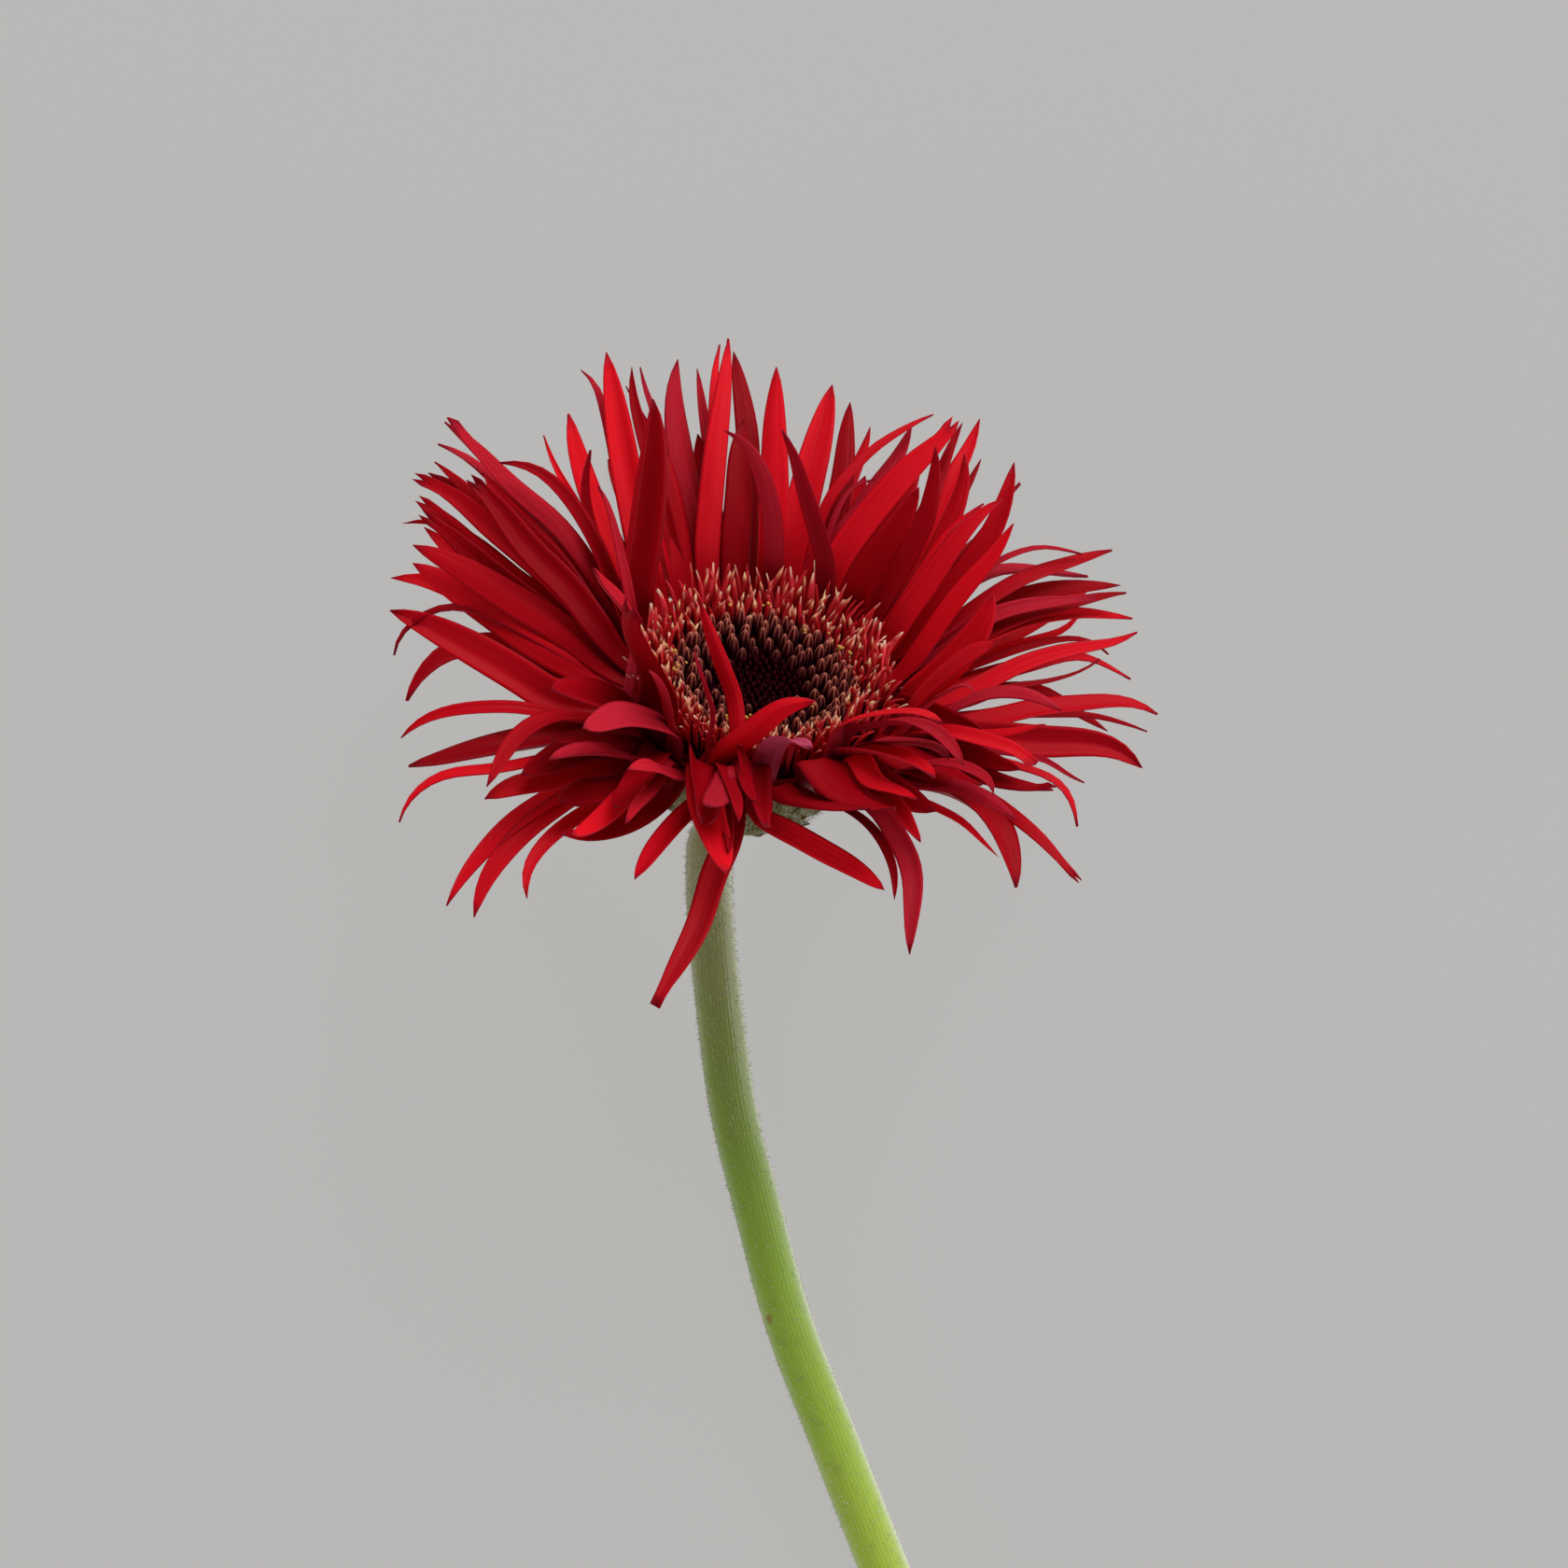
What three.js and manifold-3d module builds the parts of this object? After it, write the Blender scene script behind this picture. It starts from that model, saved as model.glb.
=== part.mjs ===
// A cut spider gerbera lying on a table: one bare curved stalk, a green cup of bracts, and a
// shaggy red head with about 150 narrow petals round a ring of florets and a dark heart.
// Millimetres, +Z up. The stalk and the lowest petals behind the head rest on z = 0.
import * as THREE from 'three';
import { mergeVertices } from 'three/addons/utils/BufferGeometryUtils.js';
import Module from 'manifold-3d';

const wasm = await Module();
wasm.setup();

// How the head is held: the middle of the face, and where the flower looks.
const FACE_HEIGHT = 39;
const FACE_TILT = 48;
const FACE_LEAN = 9;

// Petals. Heights in the head are measured along its axis from the tops of the florets.
const CORE_TOP = -7;
const CORE_BOTTOM = -11.9;
const CORE_TOP_RADIUS = 17;
const CORE_BOTTOM_RADIUS = 14.5;
const PETAL_ROOT_RADIUS = 13.5;
const PETAL_RIM_RADIUS = 17.6;
const INNER_RIM_HEIGHT = -8.3;
const OUTER_RIM_HEIGHT = -10.6;
const PETAL_THICKNESS = 1.2;
const PETAL_TIP_THICKNESS = 0.75;
const PETAL_STATIONS = [0, 0.1, 0.27, 0.47, 0.68, 0.87, 1];
const PETAL_ARCH = 0.07;
// Petals are seen partly edge-on in the photo, so they are this much wider than they look.
const EDGE_ON = 1.4;
const PETAL_TWIST = 24;
const PETAL_SEED = 20;

// The florets keep this space free of petals.
const FLORET_CLEAR_RADIUS = 19.4;
const FLORET_CLEAR_HEIGHT = 3.6;

// Petals pressed to the table behind the head, where the camera doesn't look.
const BACK_PETALS = 6;
const BACK_FROM = 28;
const BACK_TO = 152;
const BACK_ELEVATION = 0;
const BACK_LENGTH = 37;
const BACK_WIDTH = 3.4;

// Rings of florets.
const TRANS_INNER = 12.3;
const TRANS_OUTER = 16.7;
const TRANS_RINGS = [[13.2, 32], [14.7, 36], [16.1, 40]];
const TRANS_LENGTH = 7.4;
const TRANS_RADIUS = 0.8;
const TRANS_SEED = 31;
const BUDS_INNER = 5.9;
const BUDS_OUTER = 12;
const BUD_RINGS = [[6.9, 16], [8.3, 20], [9.7, 23], [11.1, 27]];
const BUD_LENGTH = 3.6;
const BUD_RADIUS = 0.8;
const BUD_SEED = 47;
const HEART_RADIUS = 5.6;
const HEART_RINGS = [[1.2, 4], [2.8, 10], [4.4, 15]];
const FLORET_ROOT_DEPTH = 0.5;
const BASE_BOTTOM = -6.7;
const BASE_TOP = -5.9;

// The cup of bracts: radius and height of its wall, and how far its foot drifts to one side.
const CUP_WALL = [[14.2, -12.2], [14.7, -15], [14.2, -18.5], [12, -22.2], [8, -25.2], [4.6, -26.6]];
const CUP_SIDES = 18;
const NECK_DRIFT = 0.13;
const BRACT_ROWS = [[13, -12.5, 9, 4.8], [13, -16.8, 8, 5]];

// The stalk: points of its middle line, in plan, then its height. It leaves the foot of the cup.
const NECK_RADIUS = 3.15;
const CUT_RADIUS = 3.65;
const STEM_SIDES = 8;
const STEM_STEPS = 40;
const STEM_POINTS = [
  [-7.5, -24.8, 16.4], [-7.9, -31.5, 11.4], [-7.5, -38, 7.9], [-6.5, -48, 4.6],
  [-4.6, -62, 0], [-1.4, -75, 0], [3.1, -91.6, 0], [9, -107, 0], [15.2, -122.8, 0],
  [22.5, -141, 0], [30.5, -162, 0], [37.5, -184, 0], [43, -207, 0], [46.5, -230, 0], [48.5, -254, 0],
];

// Every petal that the photo shows: the tip's place and height, the width, how far the petal
// arches where that is unusual, and the points that its middle line passes on the way from the tip
// to the root. All places are in plan from the middle of the face.
const PETALS = [
  // behind the face, from its left round to its right
  { tip: [-44.5, 32, 40], width: 2.6, path: [[-40.5, 29], [-35.5, 23.5], [-28.5, 17.5]] },
  { tip: [-45, 29.5, 36], width: 1.8, arch: 0.12, path: [[-41, 27.5], [-35.5, 22], [-27.5, 14.5]] },
  { tip: [-36.5, 27, 42], width: 2, arch: 0.16, path: [[-32, 26], [-28, 22.5], [-24, 16.5]] },
  { tip: [-45.5, 27, 33], width: 1.5, path: [[-42.5, 24.5], [-38.5, 21], [-32, 15.5]] },
  { tip: [-48.5, 25, 37], width: 2.8, path: [[-43, 22.5], [-38.5, 18.5], [-30, 11.5]] },
  { tip: [-46.5, 25.5, 32], width: 1.8, arch: 0.1, path: [[-41.5, 22.5], [-36.5, 18.5], [-29.5, 12]] },
  { tip: [-48, 22, 33], width: 2, path: [[-44.5, 19.5], [-39.5, 14.5], [-31.5, 8.5]] },
  { tip: [-47.5, 20, 39], width: 2.3, path: [[-44, 17.5], [-39, 13], [-31.5, 7]] },
  { tip: [-50, 18.5, 30], width: 1.3, path: [[-46, 19], [-41, 17], [-33.5, 11]] },
  { tip: [-47, 18, 34], width: 1.5, path: [[-43.5, 15], [-38.5, 10.5], [-31.5, 5]] },
  { tip: [-48.5, 15.5, 42], width: 3.6, path: [[-43, 13], [-35.5, 8.5], [-27.5, 3.5]] },
  { tip: [-41, 25, 48], width: 2.3, path: [[-37.5, 21.5], [-33, 15.5], [-27, 9.5]] },
  { tip: [-39, 25.5, 39], width: 1.8, path: [[-35.5, 21], [-31, 16], [-25, 10]] },
  { tip: [-31, 30.5, 38], width: 1.2, path: [[-28.5, 25], [-25.5, 20], [-22.5, 13.5]] },
  { tip: [-27.5, 33.5, 30], width: 3.1, path: [[-26.5, 28], [-25, 22.5], [-22, 15.5]] },
  { tip: [-24, 28.5, 37], width: 1.5, path: [[-25, 25], [-25, 21.5], [-24, 17], [-22, 12]] },
  { tip: [-22.5, 23.5, 44], width: 1.5, path: [[-21.5, 20], [-20.5, 16], [-19.5, 11.5]] },
  { tip: [-25.5, 39.5, 22], width: 1.5, arch: 0.13, path: [[-24, 39], [-22.5, 35], [-21, 29], [-19.5, 21]] },
  { tip: [-22, 42, 26], width: 3.6, path: [[-21, 36], [-20, 29], [-18.5, 20.5], [-17, 13.5]] },
  { tip: [-19.5, 37, 19], width: 0.9, path: [[-17.5, 34], [-15.5, 30.5], [-13.5, 25.5]] },
  { tip: [-18.5, 40, 22], width: 1.8, path: [[-18.5, 36.5], [-17.5, 32.5], [-16, 27], [-14, 20]] },
  { tip: [-17.5, 40, 15], width: 1.3, path: [[-17, 37.5], [-15.5, 34], [-14.5, 29.5], [-12.5, 22.5]] },
  { tip: [-15.5, 35.5, 38], width: 4.1, path: [[-16.5, 29], [-17.5, 22], [-18.5, 14.5], [-19.5, 8.5]] },
  { tip: [-12.5, 41, 18], width: 3.6, path: [[-12.5, 35], [-11.5, 27.5], [-9.5, 18.5]] },
  { tip: [-9.5, 40, 12], width: 1.5, path: [[-9, 35.5], [-8, 29], [-7, 21]] },
  { tip: [-7, 43, 17], width: 2, path: [[-7, 39], [-7, 32.5], [-7.5, 23.5]] },
  { tip: [-5, 44, 24], width: 3.3, path: [[-5.5, 38], [-6.5, 30], [-7.5, 21], [-8, 14]] },
  { tip: [-4.5, 42.5, 13], width: 2.8, path: [[-3.5, 37], [-2.5, 30.5], [-2.5, 22.5]] },
  { tip: [-5.5, 31.5, 36], width: 2.3, path: [[-3, 29.5], [-1, 26], [0.5, 20.5], [1, 13.5]] },
  { tip: [1.5, 40, 24], width: 3.3, path: [[1, 34], [1, 25.5], [1, 16]] },
  { tip: [2.5, 31.5, 35], width: 2.6, path: [[4, 28], [5.5, 23.5], [7, 18.5], [8.5, 12]] },
  { tip: [9, 37.5, 17], width: 3.8, path: [[8, 33.5], [6.5, 28], [5, 22.5]] },
  { tip: [11.5, 35.5, 13], width: 2.8, path: [[11, 31], [10.5, 25], [9, 18.5]] },
  { tip: [14.5, 31.5, 12], width: 2, path: [[13, 28], [11, 23.5], [9, 18.5]] },
  { tip: [23, 34, 16], width: 1.2, arch: 0.12, path: [[19, 31.5], [15, 29], [11.5, 25.5], [8.5, 22]] },
  { tip: [20, 32, 15], width: 2.8, path: [[18, 28], [15.5, 24.5], [13, 20.5], [10, 16.5]] },
  { tip: [26, 33, 24], width: 3.3, path: [[24.5, 30.5], [20.5, 27], [16.5, 22.5], [12.5, 17.5], [9.5, 13]] },
  { tip: [27, 32.5, 19], width: 1.8, path: [[25.5, 29.5], [24, 25.5], [22, 20.5]] },
  { tip: [29.5, 32.5, 16], width: 2.6, path: [[28, 29], [25.5, 24.5], [23, 20], [20.5, 14.5]] },
  { tip: [29.5, 27.5, 13], width: 1.5, path: [[28.5, 25.5], [26.5, 22], [24.5, 17.5]] },
  { tip: [23.5, 29, 28], width: 2.6, path: [[23, 24.5], [21.5, 18.5], [18.5, 13], [16, 8.5]] },
  { tip: [27.5, 28, 25], width: 2.8, path: [[27, 24], [25, 18.5], [22.5, 12.5], [19.5, 7]] },
  { tip: [21, 23.5, 38], width: 3.1, path: [[18.5, 18.5], [15, 13.5], [12.5, 9.5]] },
  { tip: [34, 27, 28], width: 2.8, path: [[33, 22], [31, 17], [27.5, 12], [23.5, 7]] },
  { tip: [35, 24, 20], width: 0.9, path: [[33.5, 22.5], [31.5, 20], [28.5, 16]] },
  { tip: [32, 22, 36], width: 3.3, path: [[29.5, 19.5], [26.5, 16], [23.5, 11.5], [20, 7]] },
  { tip: [30, 21, 29], width: 0.9, path: [[27.5, 19.5], [25.5, 18], [23.5, 15.5]] },
  { tip: [33.5, 18.5, 40], width: 2.6, path: [[31.5, 15], [28, 11], [24.5, 6.5], [21, 1.5]] },
  { tip: [15, 24.5, 20], width: 0.8, arch: 0.1, path: [[12, 24], [10.5, 22], [9, 18.5]] },
  { tip: [-15, 30, 22], width: 3.8, arch: 0.07, path: [[-14.5, 25], [-14, 20], [-13, 14.5]] },
  { tip: [-9, 30.5, 17], width: 3.8, arch: 0.07, path: [[-9, 25], [-9.5, 20], [-9.5, 15.5]] },
  { tip: [-3, 33, 18], width: 3.6, arch: 0.07, path: [[-3.5, 29], [-3.5, 22.5], [-4, 16]] },
  { tip: [21, 28, 22], width: 3.8, arch: 0.07, path: [[19, 23], [15.5, 18], [12, 12.5]] },
  // right of the face
  { tip: [43.5, 14.5, 22], width: 0.9, arch: 0.13, path: [[41, 15], [37.5, 15.5], [34, 14.5], [30, 12.5]] },
  { tip: [47.5, 14.5, 19], width: 2, arch: 0.12, path: [[44.5, 14], [40, 12.5], [35.5, 11], [30.5, 8]] },
  { tip: [48.5, 10, 17], width: 2.3, arch: 0.1, path: [[44, 10], [38.5, 9.5], [33.5, 8], [28.5, 6]] },
  { tip: [49.5, 9, 21], width: 2, path: [[46.5, 9], [42, 8], [37, 7], [32, 5]] },
  { tip: [45, 8, 25], width: 2, path: [[42, 8], [38, 7.5], [33, 6.5], [28.5, 4.5]] },
  { tip: [50, 5, 18], width: 2.3, arch: 0.1,
    path: [[48, 5.5], [43.5, 6], [39, 5.5], [34.5, 4.5], [30, 2.5]] },
  { tip: [51, 3.5, 24], width: 2.3, path: [[48.5, 2.5], [44, 2], [39, 1], [33.5, -1], [28, -4]] },
  { tip: [47, 0.5, 20], width: 1, path: [[46.5, 1.5], [45.5, 2.5], [42, 3], [37, 2]] },
  { tip: [50, -3, 17], width: 2.3, path: [[47.5, -1], [45, 0.5], [41.5, 1], [36.5, -0.5]] },
  { tip: [46, -1, 27], width: 1.8, path: [[42, -2], [38, -3], [33, -3.5], [28.5, -5.5]] },
  { tip: [31, 8.5, 57], width: 3.8, arch: 0.1, path: [[30, 5.5], [27, 1], [23, -3], [18.5, -6.5]] },
  { tip: [31.5, 2, 60], width: 2, path: [[28.5, 1], [24.5, -1.5], [20.5, -5]] },
  { tip: [43.5, 6.5, 16], width: 1.3, path: [[42.5, 5], [40.5, 3.5], [37, 2.5]] },
  { tip: [53.5, -8, 28], width: 2.3, path: [[51.5, -6.5], [47.5, -6], [43, -6.5], [37, -7], [31, -8.5]] },
  { tip: [52.5, -10, 22], width: 0.9, path: [[48.5, -8.5], [44.5, -7.5], [39.5, -7.5]] },
  { tip: [47, -10, 19], width: 1.8, path: [[45, -8.5], [42.5, -7], [39.5, -5], [36.5, -4]] },
  { tip: [51.5, -15, 32], width: 4.1, path: [[48.5, -12.5], [43.5, -11.5], [38, -11], [32.5, -11]] },
  { tip: [40.5, -7, 50], width: 1.5, arch: 0.16, path: [[38, -5.5], [35, -4.5], [31, -4.5], [28, -5.5]] },
  { tip: [28.5, -5, 63], width: 0.6, arch: 0.16, path: [[28.5, -4], [27, -3.5], [25, -4.5], [22.5, -6]] },
  { tip: [38, -9, 55], width: 1.5, arch: 0.14, path: [[34, -10], [29.5, -10.5], [24.5, -10.5]] },
  { tip: [36.5, -15, 59], width: 2.3, arch: 0.16, path: [[34.5, -13], [31, -12], [27, -11], [21.5, -10.5]] },
  { tip: [43, -23, 52], width: 1.7, arch: 0.18,
    path: [[42.5, -20], [41, -17.5], [39, -16], [35.5, -15], [30.5, -13.5]] },
  { tip: [43.5, -17.5, 46], width: 0.9, path: [[41, -16], [38.5, -14], [35.5, -13.5], [30.5, -12.5]] },
  { tip: [39.5, -18.5, 54], width: 2.3, arch: 0.12,
    path: [[36, -17.5], [33, -17], [28.5, -15.5], [23.5, -14.5]] },
  { tip: [44, 10.5, 17], width: 1.3, arch: 0.1, path: [[41, 11.5], [36.5, 12], [30.5, 11.5]] },
  { tip: [29.5, -18, 58], width: 3.3, arch: 0.12, path: [[24, -15.5], [18.5, -13], [13.5, -10]] },
  { tip: [35, -15.5, 52], width: 3.1, arch: 0.12, path: [[28.5, -13.5], [21.5, -11.5], [16, -8.5]] },
  { tip: [31, -11, 48], width: 2.8, arch: 0.12, path: [[26, -9], [21.5, -7.5], [17, -6.5]] },
  // in front of the face, right of the stalk
  { tip: [31, -18.5, 67], width: 1.3, arch: 0.22, path: [[31, -17], [29.5, -16], [27.5, -15], [24, -14.5]] },
  { tip: [34, -22, 66], width: 1.8, arch: 0.2,
    path: [[32.5, -20.5], [30, -19], [26.5, -17.5], [22.5, -17]] },
  { tip: [43, -30.5, 60], width: 1.8, arch: 0.2,
    path: [[40.5, -28], [38, -25], [34.5, -22], [30.5, -19], [25.5, -17]] },
  { tip: [34, -31.5, 60], width: 3.1, arch: 0.22,
    path: [[34, -27], [32.5, -23.5], [29.5, -21], [25, -18.5]] },
  { tip: [31.5, -27, 64], width: 1, arch: 0.18, path: [[29, -24.5], [27, -22.5], [24, -21], [19.5, -19]] },
  { tip: [24, -8.5, 75], width: 2, arch: 0.2, path: [[21, -7], [16.5, -7], [12, -8], [8, -10]] },
  { tip: [27, -15, 73], width: 2.3, arch: 0.25,
    path: [[25.5, -12.5], [23.5, -10.5], [19.5, -9], [14, -9.5], [9, -11]] },
  { tip: [23, -16.5, 74], width: 2.3, arch: 0.25, path: [[21, -15], [18.5, -14], [14.5, -13], [10, -13.5]] },
  { tip: [20.5, -19, 73], width: 2.3, arch: 0.2, path: [[18, -18], [14.5, -16.5], [12, -12.5]] },
  { tip: [17.5, -21, 72], width: 4.4, arch: 0.2, path: [[14, -19.5], [10.5, -17], [7.5, -13]] },
  { tip: [13.5, -20.5, 73], width: 4.4, arch: 0.16, path: [[9.5, -19.5], [5, -18.5], [2, -16.5]] },
  { tip: [21, -25.5, 71], width: 1.8, arch: 0.24, path: [[19, -22.5], [17, -20], [13.5, -18], [10, -16.5]] },
  { tip: [19.5, -40.5, 62], width: 2.3, arch: 0.26, path: [[20, -35], [20, -29.5], [18, -25], [15, -21]] },
  { tip: [17.5, -33.5, 66], width: 1.3, arch: 0.2, path: [[17.5, -29.5], [16, -25.5], [13.5, -22.5]] },
  { tip: [16.5, -32, 66], width: 3.1, arch: 0.03,
    path: [[12.5, -29], [8, -26.5], [3.5, -24], [0.5, -22.5], [-2, -21]] },
  { tip: [25, -13.5, 70], width: 1.8, arch: 0.18, path: [[22.5, -12], [18.5, -11.5], [13.5, -12]] },
  { tip: [23, -21, 64], width: 3.3, arch: 0.12, path: [[18, -18.5], [13.5, -15.5], [10.5, -11.5]] },
  // left of the face
  { tip: [-51.5, 6.5, 36], width: 4.4, arch: 0.1, path: [[-47.5, 6], [-41, 3.5], [-33.5, -1], [-25.5, -5]] },
  { tip: [-48.5, 13, 38], width: 4.1, path: [[-45, 11], [-38.5, 7], [-30.5, 1.5]] },
  { tip: [-51.5, 11, 31], width: 1.8, path: [[-48, 11], [-44.5, 10], [-38.5, 7.5]] },
  { tip: [-45.5, 13.5, 35], width: 1.3, path: [[-43, 12], [-38.5, 9], [-32, 4.5]] },
  { tip: [-51.5, 0.5, 36], width: 0.8, arch: 0.16, path: [[-51.5, 2], [-50, 3.5], [-47, 6], [-42, 7]] },
  { tip: [-49, -6, 31], width: 3.3, path: [[-48, -3.5], [-46, -1], [-43, 1], [-37, 1.5], [-30, -1.5]] },
  { tip: [-50, -11, 39], width: 1.7, arch: 0.2,
    path: [[-48, -8.5], [-44, -6.5], [-39.5, -6], [-34, -6.5], [-28.5, -8]] },
  { tip: [-49, -15, 42], width: 2.8, arch: 0.14,
    path: [[-45, -14], [-40, -12.5], [-33.5, -11.5], [-27, -11]] },
  { tip: [-50.5, -22.5, 44], width: 1.4, arch: 0.22,
    path: [[-49.5, -19.5], [-47, -17], [-44, -15], [-37, -14], [-29.5, -12.5]] },
  { tip: [-38, -18, 64], width: 2.2, arch: 0.22,
    path: [[-36.5, -14.5], [-35, -12], [-31.5, -9], [-27.5, -8], [-23, -9]] },
  { tip: [-38.5, -19.5, 59], width: 2.6, arch: 0.14,
    path: [[-35, -17.5], [-31, -16.5], [-26, -15], [-21, -14]] },
  // in front of the face, left of the stalk
  { tip: [-43.5, -34, 52], width: 2.8, arch: 0.19,
    path: [[-42.5, -31], [-39.5, -27], [-35, -22.5], [-29.5, -19], [-23, -15.5]] },
  { tip: [-40, -35.5, 54], width: 2.8, arch: 0.16,
    path: [[-39, -32], [-37, -28.5], [-33, -24], [-27.5, -20], [-22, -16.5]] },
  { tip: [-32.5, -33, 62], width: 1.8, arch: 0.2,
    path: [[-33, -30], [-31.5, -27], [-28.5, -24], [-23, -20.5]] },
  { tip: [-28.5, -24.5, 66], width: 2.8, arch: -0.06,
    path: [[-23, -24], [-17, -21.5], [-12.5, -17], [-11.5, -13]] },
  { tip: [-27, -24.5, 73], width: 2.6, arch: 0.18,
    path: [[-24, -23], [-21, -20.5], [-19, -18.5], [-16, -16.5]] },
  { tip: [-19, -22.5, 73], width: 1.8, arch: 0.16, path: [[-18, -20.5], [-15.5, -17.5], [-13, -13.5]] },
  { tip: [-18, -30.5, 69], width: 2.3, arch: -0.02, path: [[-15.5, -26.5], [-12.5, -23], [-9.5, -20]] },
  { tip: [-15.5, -47.5, 60], width: 2.8, arch: 0.16,
    path: [[-13, -43], [-11, -36.5], [-8, -30], [-5, -24.5]] },
  { tip: [-5.5, -29, 77], width: 4.9, arch: 0.26, path: [[-6.5, -24.5], [-8, -19.5], [-8, -14.5]] },
  { tip: [-5, -26.5, 73], width: 1.8, arch: 0.14, path: [[-5.5, -22.5], [-6, -17.5]] },
  { tip: [-3.5, -22, 79], width: 1.5, arch: 0.2, path: [[-4.5, -18.5], [-6, -14.5]] },
  { tip: [-29.5, -13.5, 71], width: 1.8, arch: 0.2, path: [[-25, -13], [-19, -13.5], [-13.5, -15.5]] },
  { tip: [-25.5, -10, 76], width: 2.3, arch: 0.24,
    path: [[-23, -9], [-20.5, -8], [-16.5, -8.5], [-12.5, -10.5]] },
  { tip: [-29.5, -4.5, 69], width: 4.1, arch: 0.18, path: [[-25.5, -5], [-21, -6.5], [-17, -9.5]] },
  { tip: [-18.5, -15, 76], width: 1.5, arch: 0.16, path: [[-15.5, -15], [-13, -16]] },
  { tip: [-29.5, -11.5, 64], width: 3.3, arch: 0.18, path: [[-25, -10.5], [-20, -10.5], [-15, -12]] },
  { tip: [-1.5, -20, 74], width: 1.8, arch: 0.16, path: [[-2.5, -17.5], [-3, -14]] },
  { tip: [-8, -21, 77], width: 3.3, arch: 0.16, path: [[-6, -18], [-4, -14.5]] },
  { tip: [-0.5, -23, 70], width: 4.6, arch: 0.12, path: [[-2, -18.5], [-2.5, -14]] },
  { tip: [-21, -21, 69], width: 3.3, arch: 0.14, path: [[-17, -16], [-14.5, -12.5]] },
  { tip: [-33.5, -16.5, 60], width: 3.1, arch: 0.12, path: [[-27, -14], [-20.5, -13], [-15, -13.5]] },
  { tip: [-28.5, -20, 64], width: 3.3, arch: 0.12, path: [[-23, -17.5], [-18, -16.5], [-13.5, -16]] },
  { tip: [-9, -23, 71], width: 3.8, arch: 0.12, path: [[-9, -18.5], [-9, -14]] },
  // standing up in front of the florets
  { tip: [-9, 7.5, 70], width: 1.9, arch: 0.02, path: [[-7.5, 3], [-6, -1], [-4.5, -5], [-3, -9]] },
  { tip: [-10, 0.5, 68], width: 0.9, arch: 0.04, path: [[-9, -2], [-8, -5], [-7, -8]] },
  { tip: [6.5, -6.5, 75], width: 3.1, arch: 0.2,
    path: [[3, -6.5], [0, -8.5], [-3, -11], [-6.5, -13.5], [-9, -15.5]] },
  { tip: [-19.5, 7, 68], width: 3.6, arch: 0.05, path: [[-19, 3], [-17.5, -1.5], [-15, -7]] },
  { tip: [-24, 12, 62], width: 2, arch: 0.06, path: [[-22, 9.5], [-19.5, 6.5], [-18, 2]] },
  { tip: [6, -13, 75], width: 2.6, arch: 0.1, path: [[4.5, -11.5], [2, -11.5], [0.5, -13], [-0.5, -16.5]] },
  { tip: [-16, -1.5, 68], width: 1.3, path: [[-14.5, -4], [-13.5, -7.5]] },
];

const DEGREES = Math.PI / 180;
const SHORTEST_EDGE = 0.16;
const TINY_FACE = 1e-4;

function randomFrom(seed) {
  let state = seed;
  return () => {
    state = (state + 0x6d2b79f5) | 0;
    let t = Math.imul(state ^ (state >>> 15), 1 | state);
    t = (t + Math.imul(t ^ (t >>> 7), 61 | t)) ^ t;
    return ((t ^ (t >>> 14)) >>> 0) / 4294967296;
  };
}

// The head's own frame: x to its right, y over the back of the face, z along its axis.
function headFrame() {
  const tilt = FACE_TILT * DEGREES;
  const lean = FACE_LEAN * DEGREES;
  const axis = new THREE.Vector3(
    Math.sin(tilt) * Math.sin(lean), Math.sin(tilt) * Math.cos(lean), Math.cos(tilt));
  const back = new THREE.Vector3(
    Math.cos(tilt) * Math.sin(lean), Math.cos(tilt) * Math.cos(lean), -Math.sin(tilt));
  const right = new THREE.Vector3().crossVectors(back, axis);
  return new THREE.Matrix4().makeBasis(right, back, axis).setPosition(0, 0, FACE_HEIGHT);
}

const HEAD = headFrame();
const HEAD_INVERSE = HEAD.clone().invert();

function headPoint(azimuth, radius, height) {
  const angle = azimuth * DEGREES;
  return new THREE.Vector3(radius * Math.cos(angle), radius * Math.sin(angle), height);
}

function lerp(a, b, t) {
  return a + (b - a) * t;
}

// A closed geometry with its shared corners merged.
function welded(geometry) {
  const bare = geometry.index ? geometry.clone() : mergeVertices(geometry);
  bare.deleteAttribute('normal');
  bare.deleteAttribute('uv');
  return mergeVertices(bare, 1e-4);
}

function toSolid(geometry) {
  const closed = welded(geometry);
  return new wasm.Manifold(new wasm.Mesh({
    numProp: 3,
    vertProperties: new Float32Array(closed.attributes.position.array),
    triVerts: new Uint32Array(closed.index.array),
  }));
}

// The biggest closed skin of a joined solid: loose scraps and hollows sealed inside are dropped.
function biggestSkin(corners, cornerCount) {
  const owner = Array.from({ length: cornerCount }, (_, i) => i);
  const find = (i) => {
    while (owner[i] !== i) {
      owner[i] = owner[owner[i]];
      i = owner[i];
    }
    return i;
  };
  for (let i = 0; i < corners.length; i += 3) {
    owner[find(corners[i])] = find(corners[i + 1]);
    owner[find(corners[i + 1])] = find(corners[i + 2]);
  }
  const counts = new Map();
  for (const corner of corners) counts.set(find(corner), (counts.get(find(corner)) ?? 0) + 1);
  const [biggest] = [...counts].sort((a, b) => b[1] - a[1])[0];
  const kept = [];
  for (let i = 0; i < corners.length; i += 3) {
    if (find(corners[i]) === biggest) kept.push([corners[i], corners[i + 1], corners[i + 2]]);
  }
  return kept;
}

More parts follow.
